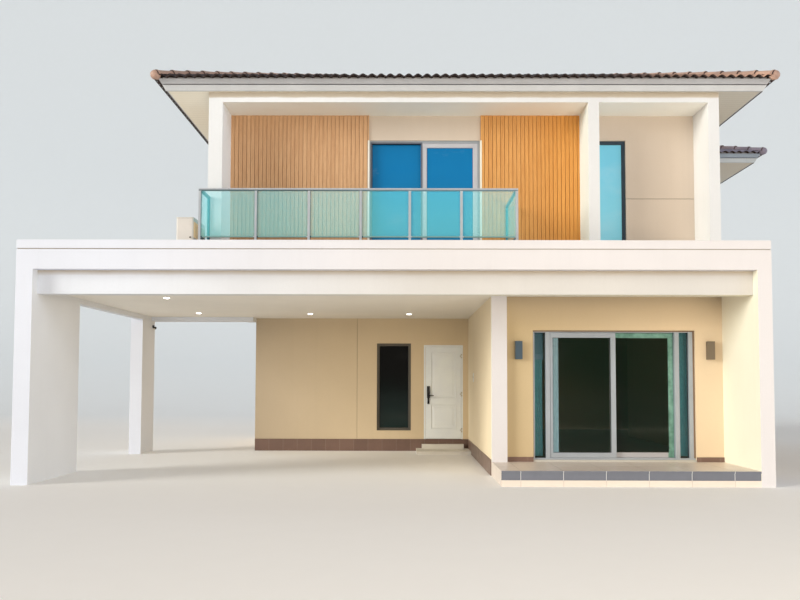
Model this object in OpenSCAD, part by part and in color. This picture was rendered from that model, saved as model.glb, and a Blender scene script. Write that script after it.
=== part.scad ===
// Two-storey detached house: carport and porch under one flat band,
// an upper loggia in a projecting frame, hip roofs over raked fascia boards.
// Plan coordinates count from the front left corner: x to the right,
// y to the back, z up from the ground. The house then stands centred.

/* [Plan, left to right] */
// Width of the left piers and columns
pier_w = 240; // [200:10:300]
// Outer face of the upper floor's left wall
block_left = 2280; // [2200:10:2400]
// Outer face of the ground floor's left wall
ground_left = 2370; // [2300:10:2450]
// Face of the wall on the carport's right side
carport_right = 6900; // [6600:10:7200]
// Outer face of the right wall and right pier
block_right = 10740; // [10400:10:11000]
// Width of the right pier
right_pier_w = 200; // [160:10:240]
// How far the rear wing stands out to the right
wing_out = 1740; // [1200:10:2000]
// Thickness of the outer walls
wall_t = 150; // [120:10:180]

/* [Plan, front to back] */
// How far the front beam lies behind the band's face
beam_back = 160; // [100:10:190]
// Width of the beams
beam_w = 200; // [150:10:250]
// Length of the left front pier along its side
pier_d = 1690; // [1400:10:1900]
// Front edge of the rear column
rear_column_y = 4840; // [4600:10:5000]
// Length of the rear column along its side
rear_column_d = 790; // [600:10:850]
// Front face of the porch column
porch_column_y = 1200; // [1100:10:1250]
// Front face of the living room wall
living_y = 1300; // [1260:10:1400]
// Front face of the carport's back wall
back_wall_y = 5750; // [5650:10:6000]
// Front face of the upper frame
frame_y = 1770; // [1700:10:1900]
// Front face of the wall inside the upper frame
loggia_y = 2460; // [2300:10:2700]
// Front face of the rear wing
wing_y = 6700; // [6500:10:6900]
// Outer face of the rear wall
rear_y = 9600; // [9200:10:10000]

/* [Levels] */
// Ground floor level
floor_z = 250; // [230:10:300]
// Porch floor level
porch_z = 220; // [200:10:250]
// Top of the upper entrance step
step_z = 150; // [120:5:180]
// Ceiling of the carport and the porch
ceiling_z = 2810; // [2750:10:2850]
// Underside of the carport beams
beam_z = 2720; // [2650:10:2740]
// Underside of the white band
band_z = 3060; // [3000:10:3100]
// Top of the white band
band_top_z = 3480; // [3450:10:3550]
// Balcony deck and upper floor level
deck_z = 3400; // [3380:10:3420]
// Thickness of the upper floor slab
slab_t = 150; // [120:10:180]
// Top of the kerb under the balcony railing
kerb_z = 3650; // [3550:10:3680]
// Heads of the ground floor doors and windows
head_z = 2280; // [2250:10:2300]
// Heads of the upper doors and windows
upper_head_z = 5665; // [5600:5:5720]
// Underside of the upper frame's beam
frame_head_z = 6100; // [6050:5:6140]
// Underside of the eaves
soffit_z = 6265; // [6190:5:6300]

/* [Roof] */
// How far the eaves stand out at the sides
eave_out = 700; // [500:10:800]
// How far the front eave stands in front of the upper frame
front_eave_out = 75; // [60:5:400]
// Height of the lower fascia board
fascia_low_h = 82; // [70:2:140]
// Height of the shadow gap between the fascia boards
fascia_gap_h = 14; // [8:1:24]
// Height of the upper fascia board
fascia_high_h = 74; // [60:2:110]
// Thickness of a fascia board
fascia_t = 30; // [20:2:40]
// How far each fascia board leans out over its height
fascia_lean = 45; // [0:5:60]
// How far the tiles stand out over the foot of the fascia
tile_out = 180; // [150:5:200]
// Thickness of the tiled roof
roof_t = 110; // [90:5:140]
// Height of the tiles' edge at the eaves
tile_edge_h = 60; // [40:5:90]
// Pitch of the roofs
roof_pitch = 20; // [15:0.5:21]

/* [Entrance] */
// Left edge of the doorway
door_x = 5955; // [5900:5:6000]
// Width of the doorway
door_w = 830; // [800:5:840]
// Head of the doorway
door_head_z = 2245; // [2200:5:2250]
// Width of the door's frame
door_frame_w = 36; // [30:1:45]
// Thickness of the door leaf
leaf_t = 40; // [35:1:50]
// Gap round the door leaf and at the sliding leaves' sides
leaf_gap = 5; // [5:0.5:8]

/* [Living room door] */
// Left edge of the opening
slide_x = 7560; // [7500:10:7600]
// Width of the opening
slide_w = 2550; // [2500:10:2600]
// Width of the fixed light on the left, with its frame
left_light_w = 205; // [180:5:230]
// Width of the fixed light on the right, with its frame
right_light_w = 240; // [200:5:260]
// Width of the frame's right jamb, which is broader than its other sides
right_jamb_w = 90; // [40:5:110]
// Width of the fixed mullions
mullion_w = 70; // [50:5:90]
// Width of the left leaf, which slides in front
left_leaf_w = 1032; // [980:2:1080]
// Width of the sliding leaves' stiles and rails
stile_w = 78; // [70:2:95]
// Thickness of a sliding leaf
slide_t = 36; // [30:1:42]

/* [Balcony] */
// Height of the railing over the deck
rail_h = 1110; // [1000:10:1200]
// Line of the front railing
rail_y = 1170; // [1150:10:1300]
// Centre of the railing's left end post
rail_left = 2306; // [2300:2:2400]
// Width of the railing's posts and top rail
rail_w = 40; // [35:1:60]
// Left edge of the balcony door
balcony_door_x = 4925; // [4900:5:5000]
// Width of the balcony door
balcony_door_w = 1920; // [1800:10:1950]
// Thickness of the wood cladding
wood_t = 30; // [20:1:40]
// Pitch of the wood battens
batten_pitch = 70; // [50:1:90]
// Left face of the fin between loggia and right bay
fin_x = 8575; // [8500:5:8600]
// Thickness of the fin
fin_w = 182; // [150:2:200]
// Width of the upper frame's left post
left_post_w = 230; // [200:5:260]
// Width of the upper frame's right post
right_post_w = 180; // [160:5:200]

/* [Hidden] */

cut = 1;
slab_z = deck_z - slab_t;
wing_right = block_right + wing_out;
fascia_joint_z = soffit_z + fascia_low_h;
tile_z = fascia_joint_z + fascia_gap_h + fascia_high_h;
rear_column_end = rear_column_y + rear_column_d;
rear_beam_y = 5400;

// Outer corners of the two eaves, at the foot of the lower fascia board.
// The wing's roof starts inside the main roof, so that its ridge runs into it.
main_eave = [
    [block_left - eave_out, frame_y - front_eave_out],
    [block_right + eave_out, rear_y + eave_out]
];
wing_eave = [
    [(block_left + block_right) / 2, wing_y - eave_out],
    [wing_right + eave_out, rear_y + eave_out]
];

overall_w = wing_eave[1][0] + tile_out;
overall_d = main_eave[1][1] + tile_out;

// Railing posts, from the left return to the right return
post_steps = [0, 884, 1722, 2539, 3311, 4125, 4998];
post_count = len(post_steps);
rail_right = rail_left + post_steps[post_count - 1];
rail_end_y = loggia_y - wood_t;
rail_top_z = deck_z + rail_h;
rail_foot_z = 3731;
rail_foot_h = 18;

// Window places as [start, sill, width, head]. The hidden sides repeat the
// sizes of the front, and the upper ones stand over the ground floor's.
low_sill = 430;
small_sill = 1150;
window_w = 725;
wide_window_w = 1600;
carport_window = [4955, low_sill, window_w, head_z];
bay_window = [8800, 3620, 577, upper_head_z];
left_places = [[7300, small_sill, window_w, head_z]];
right_places = [[3200, low_sill, window_w, head_z]];
upper_side_places = [[4200, small_sill, window_w, head_z]];
rear_places = [
    [3600, small_sill, wide_window_w, head_z],
    [7400, small_sill, wide_window_w, head_z]
];
wing_front_places = [[11150, small_sill, window_w, head_z]];
wing_side_places = [[7700, small_sill, window_w, head_z]];

frame_line = 55;
window_d = 60;
window_back = 40;
glass_t = 8;

// Sliding door: the frame's line and depth, and the two leaves' places
slide_frame_d = 110;
slide_y = living_y + 40;
slide_line = 32;
slide_sill_h = 25;
track_inset = 6;
leaf_bottom = floor_z + slide_sill_h + leaf_gap;
leaf_top = head_z - slide_line - leaf_gap;
left_leaf_x = slide_x + left_light_w + mullion_w + leaf_gap;
right_mullion_x = slide_x + slide_w - right_light_w - mullion_w;
right_leaf_x = left_leaf_x + left_leaf_w - stile_w;
right_leaf_w = right_mullion_x - leaf_gap - right_leaf_x;

// Entrance door: edges of the leaf, and the line that its hinges turn on
leaf_x0 = door_x + door_frame_w + leaf_gap;
leaf_x1 = door_x + door_w - door_frame_w - leaf_gap;
leaf_z0 = floor_z + 8;
leaf_z1 = door_head_z - door_frame_w - leaf_gap;
door_frame_d = 90;
hinge_places = [440, 1202, 2011];
hinge_x = leaf_x1 + leaf_gap / 2;
hinge_out = 9;
hinge_h = 90;
hinge_d = 14;
hinge_plate_w = 25;
hinge_plate_t = 3;
hinge_gap = 1;

cream = [0.93, 0.90, 0.84];
beige = [0.84, 0.76, 0.66];
shade_tan = [0.76, 0.67, 0.56];
brown = [0.42, 0.30, 0.22];
wood = [0.62, 0.36, 0.19];
tile_brown = [0.36, 0.29, 0.28];
pale_grey = [0.80, 0.80, 0.80];
aluminium = [0.70, 0.70, 0.73];
dark_grey = [0.22, 0.22, 0.24];
glass_green = [0.45, 0.68, 0.68, 0.6];
white = [0.92, 0.92, 0.90];

// Moves plan coordinates so that the whole house stands centred on the origin
module site() {
    translate([-overall_w / 2, -overall_d / 2, 0]) children();
}

// Carries an elevation drawn in x and z back from y by t
module along_x(y, t) {
    translate([0, y + t, 0])
        rotate([90, 0, 0])
            linear_extrude(t)
                children();
}

// Carries an elevation drawn in y and z to the right from x by t
module along_y(x, t) {
    translate([x, 0, 0])
        rotate([90, 0, 90])
            linear_extrude(t)
                children();
}

// Level slab of a plan outline between two heights
module level(z0, z1) {
    translate([0, 0, z0]) linear_extrude(z1 - z0) children();
}

// Rectangle by its corners, in a plan or in an elevation
module corners(x0, y0, x1, y1) {
    translate([x0, y0]) square([x1 - x0, y1 - y0]);
}

// Rectangle of an opening in a wall's elevation, as [start, sill, width, head]
module opening(place) {
    corners(place[0], place[1], place[0] + place[2], place[3]);
}

// Rectangle with round corners, drawn with true arcs
module rounded(w, h, r) {
    translate([r, 0]) square([w - 2 * r, h]);
    translate([0, r]) square([w, h - 2 * r]);
    for (x = [r, w - r], y = [r, h - r]) translate([x, y]) circle(r = r, $fn = 32);
}

// Wall along x: an elevation from z0 to z1, with openings as children
module front_wall(x0, x1, y, z0, z1, t = wall_t) {
    along_x(y, t)
        difference() {
            corners(x0, z0, x1, z1);
            children();
        }
}

// Wall along y, with openings as children
module side_wall(y0, y1, x, z0, z1, t = wall_t) {
    along_y(x, t)
        difference() {
            corners(y0, z0, y1, z1);
            children();
        }
}

// Elevation of a frame of one width round a place, with upright bars at its middle
module frame_outline(place, line, bars = 0) {
    difference() {
        opening(place);
        opening([place[0] + line, place[1] + line, place[2] - 2 * line, place[3] - line]);
    }
    for (i = [1:1:bars])
        translate([place[0] + i * place[2] / (bars + 1) - line / 2, place[1]])
            square([line, place[3] - place[1]]);
}

// Window with one sheet of glass in its frame, in a wall along x
module window_x(place, y, bars = 0) {
    along_x(y, window_d) frame_outline(place, frame_line, bars);
    along_x(y + (window_d - glass_t) / 2, glass_t) opening(place);
}

// The same in a wall along y
module window_y(place, x) {
    along_y(x, window_d) frame_outline(place, frame_line);
    along_y(x + (window_d - glass_t) / 2, glass_t) opening(place);
}

// Sliding leaf: stiles and rails of one width round a sheet of glass
module slide_leaf(place, y) {
    glass_edge = 10;
    along_x(y, slide_t) frame_outline(place, stile_w);
    along_x(y + (slide_t - glass_t) / 2, glass_t)
        opening([
            place[0] + glass_edge,
            place[1] + glass_edge,
            place[2] - 2 * glass_edge,
            place[3] - glass_edge
        ]);
}

// Ground floor places lifted to the upper floor
function raised(places) = [
    for (p = places) [p[0], p[1] - head_z + upper_head_z, p[2], upper_head_z]
];

module ground_floor_slab() {
    color(pale_grey)
        site()
            level(0, floor_z) {
                corners(slide_x, living_y, slide_x + slide_w, living_y + wall_t);
                corners(door_x, back_wall_y, door_x + door_w, back_wall_y + wall_t);
                polygon([
                    [ground_left + wall_t, back_wall_y + wall_t],
                    [carport_right + wall_t, back_wall_y + wall_t],
                    [carport_right + wall_t, living_y + wall_t],
                    [block_right - wall_t, living_y + wall_t],
                    [block_right - wall_t, wing_y + wall_t],
                    [wing_right - wall_t, wing_y + wall_t],
                    [wing_right - wall_t, rear_y - wall_t],
                    [ground_left + wall_t, rear_y - wall_t]
                ]);
            }
}

// Porch floor: a side profile of kerb, tiled riser and nosing, carried along the front
module porch_slab() {
    kerb_h = 88;
    nosing = 12;
    nosing_h = 30;
    color(pale_grey)
        site()
            along_y(carport_right, block_right - right_pier_w - carport_right)
                polygon([
                    [0, 0],
                    [0, kerb_h],
                    [nosing, kerb_h],
                    [nosing, porch_z - nosing_h],
                    [0, porch_z - nosing_h],
                    [0, porch_z],
                    [living_y, porch_z],
                    [living_y, 0]
                ]);
}

// Elevations of the two step tiers, used for the steps and to cut the skirting
tread_z = 60;
low_tier_d = 830;
module low_tier() {
    corners(5790, 0, carport_right, tread_z);
}
module high_tier() {
    corners(5910, tread_z, 6790, step_z);
}

module entrance_step() {
    high_tier_d = 150;
    color(pale_grey)
        site() {
            along_x(back_wall_y - low_tier_d, low_tier_d) low_tier();
            along_x(back_wall_y - high_tier_d, high_tier_d) high_tier();
        }
}

// The piers pass the band with a rebate, so that its faces run through
module left_pier() {
    color(cream)
        site() {
            level(0, band_z) corners(0, 0, pier_w, pier_d);
            level(band_z, slab_z) corners(beam_back, beam_back, pier_w, pier_d);
        }
}

module right_pier() {
    inner_x = block_right - right_pier_w;
    color(cream)
        site() {
            level(0, band_z) corners(inner_x, 0, block_right, living_y);
            level(band_z, slab_z) corners(inner_x, beam_back, block_right - wall_t, living_y);
        }
}

module rear_column() {
    color(cream)
        site() {
            level(0, band_z) corners(0, rear_column_y, pier_w, rear_column_end);
            level(band_z, slab_z)
                corners(beam_back, rear_column_y, pier_w, rear_column_end - beam_back);
        }
}

module porch_column() {
    color(cream)
        site()
            level(porch_z, ceiling_z)
                corners(carport_right, porch_column_y, carport_right + pier_w, living_y);
}

// Plan of the white band round the flat roof, with its outer faces set back by inset
module band_plan(inset) {
    corners(inset, inset, block_right - inset, beam_back);
    corners(inset, inset, beam_back, rear_column_end - inset);
    corners(inset, rear_column_end - beam_back, block_left, rear_column_end - inset);
    corners(block_right - wall_t, inset, block_right - inset, frame_y);
}

module front_band() {
    groove_z = 3343;
    groove_h = 14;
    groove_d = 12;
    color(cream)
        site() {
            level(band_z, groove_z) band_plan(0);
            level(groove_z, groove_z + groove_h) band_plan(groove_d);
            level(groove_z + groove_h, band_top_z) band_plan(0);
        }
}

module carport_beams() {
    side_x = 100;
    color(cream)
        site() {
            level(beam_z, slab_z)
                corners(pier_w, beam_back, block_right - right_pier_w, beam_back + beam_w);
            level(beam_z, band_z) corners(side_x, pier_d, pier_w, rear_column_y);
            level(band_z, slab_z) corners(beam_back, pier_d, pier_w, rear_column_y);
            level(beam_z, band_z) corners(pier_w, rear_beam_y, ground_left, rear_beam_y + beam_w);
            level(band_z, slab_z)
                corners(pier_w, rear_beam_y, ground_left, rear_column_end - beam_back);
        }
}

module ceilings() {
    board_t = 20;
    inner_y = beam_back + beam_w;
    color(cream)
        site()
            level(ceiling_z, ceiling_z + board_t)
                polygon([
                    [pier_w, inner_y],
                    [block_right - right_pier_w, inner_y],
                    [block_right - right_pier_w, living_y],
                    [carport_right, living_y],
                    [carport_right, back_wall_y],
                    [ground_left, back_wall_y],
                    [ground_left, rear_beam_y],
                    [pier_w, rear_beam_y]
                ]);
}

module first_floor_slab() {
    color(pale_grey)
        site()
            level(slab_z, deck_z)
                polygon([
                    [beam_back, beam_back],
                    [block_right - wall_t, beam_back],
                    [block_right - wall_t, frame_y],
                    [block_right, frame_y],
                    [block_right, wing_y],
                    [wing_right, wing_y],
                    [wing_right, rear_y],
                    [block_left, rear_y],
                    [block_left, rear_column_end - beam_back],
                    [beam_back, rear_column_end - beam_back]
                ]);
}

module carport_back_wall() {
    color(shade_tan)
        site() {
            front_wall(ground_left, door_x, back_wall_y, 0, slab_z) opening(carport_window);
            front_wall(door_x + door_w, carport_right, back_wall_y, 0, slab_z);
        }
}

module carport_back_wall_header() {
    color(shade_tan)
        site()
            front_wall(door_x, door_x + door_w, back_wall_y, door_head_z, slab_z);
}

module carport_side_wall() {
    color(shade_tan)
        site()
            side_wall(living_y, back_wall_y + wall_t, carport_right, 0, slab_z);
}

module living_front_wall() {
    color(beige)
        site() {
            front_wall(carport_right + wall_t, slide_x, living_y, 0, slab_z);
            front_wall(slide_x + slide_w, block_right - wall_t, living_y, 0, slab_z);
        }
}

module living_front_wall_header() {
    color(beige)
        site()
            front_wall(slide_x, slide_x + slide_w, living_y, head_z, slab_z);
}

// The right wall is notched at its front, where the band's return passes it
module ground_side_walls() {
    color(beige)
        site() {
            side_wall(back_wall_y + wall_t, rear_y - wall_t, ground_left, 0, slab_z)
                for (p = left_places) opening(p);
            side_wall(living_y, wing_y + wall_t, block_right - wall_t, 0, slab_z) {
                corners(living_y - cut, band_z, frame_y, slab_z + cut);
                for (p = right_places) opening(p);
            }
        }
}

module ground_rear_wall() {
    color(beige)
        site()
            front_wall(ground_left, wing_right, rear_y - wall_t, 0, slab_z)
                for (p = rear_places) opening(p);
}

module wing_ground_walls() {
    color(beige)
        site() {
            front_wall(block_right, wing_right, wing_y, 0, slab_z)
                for (p = wing_front_places) opening(p);
            side_wall(wing_y + wall_t, rear_y - wall_t, wing_right - wall_t, 0, slab_z)
                for (p = wing_side_places) opening(p);
        }
}

// Tiled skirting of the carport walls, let round the steps, and of the porch wall
module skirting() {
    skirt_t = 12;
    skirt_h = 250;
    porch_skirt_h = 75;
    side_top = porch_z + porch_skirt_h;
    porch_left = carport_right + pier_w;
    color(brown)
        site() {
            front_wall(ground_left, carport_right, back_wall_y - skirt_t, 0, skirt_h, skirt_t) {
                low_tier();
                high_tier();
            }
            along_y(carport_right - skirt_t, skirt_t) {
                corners(living_y, tread_z, back_wall_y - skirt_t, skirt_h);
                corners(living_y, 0, back_wall_y - low_tier_d, tread_z);
            }
            front_wall(porch_left, slide_x, living_y - skirt_t, porch_z, side_top, skirt_t);
            front_wall(
                slide_x + slide_w,
                block_right - right_pier_w,
                living_y - skirt_t,
                porch_z,
                side_top,
                skirt_t
            );
        }
}

module upper_front_wall() {
    color(beige)
        site()
            front_wall(block_left, block_right, loggia_y, deck_z, soffit_z) {
                opening([balcony_door_x, deck_z - cut, balcony_door_w, upper_head_z]);
                opening(bay_window);
            }
}

module upper_side_walls() {
    color(beige)
        site() {
            side_wall(loggia_y + wall_t, rear_y - wall_t, block_left, deck_z, soffit_z)
                for (p = raised(concat(left_places, upper_side_places))) opening(p);
            side_wall(loggia_y + wall_t, wing_y + wall_t, block_right - wall_t, deck_z, soffit_z)
                for (p = raised(upper_side_places)) opening(p);
        }
}

module upper_rear_wall() {
    color(beige)
        site()
            front_wall(block_left, wing_right, rear_y - wall_t, deck_z, soffit_z)
                for (p = raised(rear_places)) opening(p);
}

module wing_upper_walls() {
    color(beige)
        site() {
            front_wall(block_right, wing_right, wing_y, deck_z, soffit_z)
                for (p = raised(wing_front_places)) opening(p);
            side_wall(wing_y + wall_t, rear_y - wall_t, wing_right - wall_t, deck_z, soffit_z)
                for (p = raised(wing_side_places)) opening(p);
        }
}

module frame_posts() {
    color(cream)
        site()
            level(deck_z, frame_head_z) {
                corners(block_left, frame_y, block_left + left_post_w, loggia_y);
                corners(fin_x, frame_y, fin_x + fin_w, loggia_y);
                corners(block_right - right_post_w, frame_y, block_right, loggia_y);
            }
}

module frame_beam() {
    color(cream)
        site()
            level(frame_head_z, soffit_z) corners(block_left, frame_y, block_right, loggia_y);
}

// Plan of grooved boarding between x0 and x1: a comb of battens on a backing
module batten_comb(x0, x1) {
    groove_w = 9;
    groove_d = 12;
    count = floor((x1 - x0) / batten_pitch);
    difference() {
        corners(x0, loggia_y - wood_t, x1, loggia_y);
        for (i = [1:count])
            translate([x0 + i * batten_pitch - groove_w, loggia_y - wood_t - cut])
                square([groove_w, groove_d + cut]);
    }
}

module wood_cladding() {
    door_margin = 12;
    color(wood)
        site()
            level(deck_z, frame_head_z) {
                batten_comb(block_left + left_post_w, balcony_door_x - door_margin);
                batten_comb(balcony_door_x + balcony_door_w + door_margin, fin_x);
            }
}

// Solid that a profile in x and a profile in y both bound: two prisms crossing
// at right angles. Each profile is a list of [outward distance, height] pairs
// up one side, mirrored to the other side of the eave's rectangle.
module crossing(eave, profile) {
    near = eave[0];
    far = eave[1];
    reach = 500;
    last = len(profile) - 1;
    intersection() {
        translate([0, far[1] + reach, 0])
            rotate([90, 0, 0])
                linear_extrude(far[1] - near[1] + 2 * reach)
                    polygon([
                        for (p = profile) [far[0] + p[0], p[1]],
                        for (i = [last:-1:0]) [near[0] - profile[i][0], profile[i][1]]
                    ]);
        translate([near[0] - reach, 0, 0])
            rotate([90, 0, 90])
                linear_extrude(far[0] - near[0] + 2 * reach)
                    polygon([
                        for (p = profile) [far[1] + p[0], p[1]],
                        for (i = [last:-1:0]) [near[1] - profile[i][0], profile[i][1]]
                    ]);
    }
}

module eave_plan(eave, out) {
    corners(eave[0][0] - out, eave[0][1] - out, eave[1][0] + out, eave[1][1] + out);
}

module eaves_soffit() {
    board_t = 12;
    shadow_gap = 1;
    lap = 50;
    color(cream)
        site()
            level(soffit_z, soffit_z + board_t)
                difference() {
                    union() {
                        eave_plan(main_eave, -fascia_t - shadow_gap);
                        eave_plan(wing_eave, -fascia_t - shadow_gap);
                    }
                    corners(block_left + lap, frame_y + lap, block_right - lap, rear_y - lap);
                    corners(block_right - lap - cut, wing_y + lap, wing_right - lap, rear_y - lap);
                }
}

// Raked board round both eaves: a ring whose faces lean out as they rise
module raked_board(foot_out, z, h, lean = fascia_lean) {
    outer = [[foot_out, z], [foot_out + lean, z + h]];
    inner_out = foot_out - fascia_t;
    slope = lean / h;
    inner = [
        [inner_out - slope * cut, z - cut],
        [inner_out + lean + slope * cut, z + h + cut]
    ];
    difference() {
        union() {
            crossing(main_eave, outer);
            crossing(wing_eave, outer);
        }
        crossing(main_eave, inner);
        crossing(wing_eave, inner);
    }
}

// Two raked boards with a shadow gap between them, closed by an upright strip
module fascia() {
    step = 8;
    gap_d = 14;
    color(pale_grey)
        site() {
            raked_board(0, soffit_z, fascia_low_h);
            raked_board(fascia_lean - gap_d, fascia_joint_z, fascia_gap_h, 0);
            raked_board(fascia_lean + step, fascia_joint_z + fascia_gap_h, fascia_high_h);
        }
}

// Hip roof body over a square-cut edge. The ridge lies over the middle of the
// eave's shorter side, because both crossing prisms are gabled there.
module hip_body(eave, out, z, edge_h) {
    near = eave[0];
    far = eave[1];
    size_x = far[0] - near[0] + 2 * out;
    size_y = far[1] - near[1] + 2 * out;
    base = z + edge_h;
    intersection() {
        translate([near[0] - out, far[1] + out, z])
            rotate([90, 0, 0])
                linear_extrude(size_y)
                    polygon([
                        [0, 0],
                        [size_x, 0],
                        [size_x, edge_h],
                        [size_x / 2, edge_h + size_x / 2 * tan(roof_pitch)],
                        [0, edge_h]
                    ]);
        translate([near[0] - out, near[1] - out, z])
            rotate([90, 0, 90])
                linear_extrude(size_x)
                    polygon([
                        [0, 0],
                        [size_y, 0],
                        [size_y, edge_h],
                        [size_y / 2, edge_h + size_y / 2 * tan(roof_pitch)],
                        [0, edge_h]
                    ]);
    }
}

// Tiled shell of a hip roof: the body less the same body drawn in by its thickness
module hip_shell(eave) {
    difference() {
        hip_body(eave, tile_out, tile_z, tile_edge_h);
        hip_body(eave, tile_out - roof_t, tile_z - cut, cut);
    }
}

module main_roof() {
    color(tile_brown)
        site()
            hip_shell(main_eave);
}

module wing_roof() {
    color(tile_brown)
        site()
            difference() {
                hip_shell(wing_eave);
                hip_body(main_eave, tile_out, tile_z - cut, tile_edge_h + cut);
            }
}

// Line of the railing: the front and its two returns, w wide
module rail_plan(w) {
    corners(rail_left - w / 2, rail_y, rail_right + w / 2, rail_y + w);
    corners(rail_left - w / 2, rail_y, rail_left + w / 2, frame_y);
    corners(rail_right - w / 2, rail_y, rail_right + w / 2, rail_end_y);
}

module balcony_kerb() {
    kerb_lap = 17;
    color(cream)
        site()
            level(deck_z, kerb_z) rail_plan(rail_w + 2 * kerb_lap);
}

module balcony_railing() {
    shoe_w = 70;
    shoe_h = 12;
    color(aluminium)
        site() {
            for (x = post_steps)
                translate([rail_left + x, rail_y + rail_w / 2, kerb_z]) {
                    linear_extrude(rail_top_z - kerb_z) square(rail_w, center = true);
                    linear_extrude(shoe_h) square([shoe_w, rail_w], center = true);
                }
            level(kerb_z, rail_top_z) {
                corners(rail_left - rail_w / 2, frame_y - rail_w, rail_left + rail_w / 2, frame_y);
                corners(
                    rail_right - rail_w / 2,
                    rail_end_y - rail_w,
                    rail_right + rail_w / 2,
                    rail_end_y
                );
            }
            level(rail_top_z - rail_w, rail_top_z) rail_plan(rail_w);
            level(rail_foot_z, rail_foot_z + rail_foot_h) rail_plan(rail_w);
        }
}

module balcony_glass() {
    pane_t = 10;
    half = rail_w / 2;
    pane_y = rail_y + half - pane_t / 2;
    color(glass_green)
        site()
            level(rail_foot_z + rail_foot_h, rail_top_z - rail_w) {
                for (i = [0:post_count - 2])
                    corners(
                        rail_left + post_steps[i] + half,
                        pane_y,
                        rail_left + post_steps[i + 1] - half,
                        pane_y + pane_t
                    );
                corners(
                    rail_left - pane_t / 2,
                    rail_y + rail_w,
                    rail_left + pane_t / 2,
                    frame_y - rail_w
                );
                corners(
                    rail_right - pane_t / 2,
                    rail_y + rail_w,
                    rail_right + pane_t / 2,
                    rail_end_y - rail_w
                );
            }
}

// Balcony door: a fixed light on the left and a leaf on the right in front of it
module balcony_door() {
    line = 42;
    sash_x = 5845;
    place = [balcony_door_x, deck_z, balcony_door_w, upper_head_z];
    sash = [
        sash_x,
        deck_z + line,
        balcony_door_x + balcony_door_w - line - sash_x,
        upper_head_z - line
    ];
    color(aluminium)
        site() {
            along_x(loggia_y + 20, slide_frame_d) frame_outline(place, line);
            slide_leaf(sash, loggia_y + 20 + track_inset);
            along_x(loggia_y + 20 + track_inset + slide_t, slide_frame_d / 2 - slide_t)
                corners(sash_x, sash[1], sash_x + stile_w, sash[3]);
            along_x(loggia_y + 20 + slide_frame_d / 2, glass_t)
                opening([balcony_door_x, deck_z, sash_x + stile_w - balcony_door_x, upper_head_z]);
        }
}

module upper_windows() {
    right_x = block_right - window_back - window_d;
    color(dark_grey)
        site() {
            window_x(bay_window, loggia_y + window_back);
            for (p = raised(concat(left_places, upper_side_places)))
                window_y(p, block_left + window_back);
            for (p = raised(upper_side_places)) window_y(p, right_x);
            for (p = raised(rear_places)) window_x(p, rear_y - window_back - window_d, 1);
            for (p = raised(wing_front_places)) window_x(p, wing_y + window_back);
            for (p = raised(wing_side_places)) window_y(p, right_x + wing_out);
        }
}

module ground_windows() {
    right_x = block_right - window_back - window_d;
    color(dark_grey)
        site() {
            window_x(carport_window, back_wall_y + window_back);
            for (p = left_places) window_y(p, ground_left + window_back);
            for (p = right_places) window_y(p, right_x);
            for (p = rear_places) window_x(p, rear_y - window_back - window_d, 1);
            for (p = wing_front_places) window_x(p, wing_y + window_back);
            for (p = wing_side_places) window_y(p, right_x + wing_out);
        }
}

// The sliding door's frame, with a fixed narrow light beyond each mullion
module living_door_frame() {
    sill_z = floor_z + slide_sill_h;
    top_z = head_z - slide_line;
    left_mullion_x = slide_x + left_light_w;
    color(aluminium)
        site() {
            along_x(slide_y, slide_frame_d) {
                difference() {
                    opening([slide_x, floor_z, slide_w, head_z]);
                    opening([slide_x + slide_line, sill_z, slide_w - slide_line - right_jamb_w, top_z]);
                }
                opening([left_mullion_x, floor_z, mullion_w, head_z]);
                opening([right_mullion_x, floor_z, mullion_w, head_z]);
            }
            along_x(slide_y + slide_frame_d / 2, glass_t) {
                corners(slide_x, sill_z, left_mullion_x, top_z);
                corners(right_mullion_x + mullion_w, sill_z, slide_x + slide_w, top_z);
            }
        }
}

module living_door_left_leaf() {
    color(aluminium)
        site()
            slide_leaf([left_leaf_x, leaf_bottom, left_leaf_w, leaf_top], slide_y + track_inset);
}

module living_door_right_leaf() {
    color(aluminium)
        site()
            slide_leaf(
                [right_leaf_x, leaf_bottom, right_leaf_w, leaf_top],
                slide_y + slide_frame_d - track_inset - slide_t
            );
}

// Barrel of a hinge from z0 to z1, with its plate to one side of the hinge line
module hinge_part(z0, z1, side) {
    plate_x = side > 0 ? hinge_x : hinge_x - hinge_plate_w;
    translate([hinge_x, back_wall_y - hinge_out, z0]) cylinder(h = z1 - z0, d = hinge_d, $fn = 32);
    level(z0, z1)
        corners(plate_x, back_wall_y - hinge_plate_t, plate_x + hinge_plate_w, back_wall_y);
}

// The leaf carries each hinge's middle third, the frame its upper and lower thirds
module entrance_door_frame() {
    third = hinge_h / 3;
    color(white)
        site() {
            along_x(back_wall_y, door_frame_d)
                difference() {
                    opening([door_x, floor_z, door_w, door_head_z]);
                    corners(
                        door_x + door_frame_w,
                        floor_z - cut,
                        door_x + door_w - door_frame_w,
                        door_head_z - door_frame_w
                    );
                }
            for (z = hinge_places) {
                hinge_part(z - hinge_h / 2, z - third / 2 - hinge_gap, 1);
                hinge_part(z + third / 2 + hinge_gap, z + hinge_h / 2, 1);
            }
        }
}

// Door leaf with two panels, each set off by a groove all round
module entrance_door_leaf() {
    panels = [[6108, 469, 521, 978], [6108, 1117, 521, 2095]];
    groove_w = 16;
    groove_d = 6;
    third = hinge_h / 3;
    color(white)
        site() {
            difference() {
                front_wall(leaf_x0, leaf_x1, back_wall_y, leaf_z0, leaf_z1, leaf_t);
                for (p = panels)
                    along_x(back_wall_y - cut, groove_d + cut) frame_outline(p, groove_w);
            }
            for (z = hinge_places) hinge_part(z - third / 2, z + third / 2, -1);
        }
}

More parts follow.
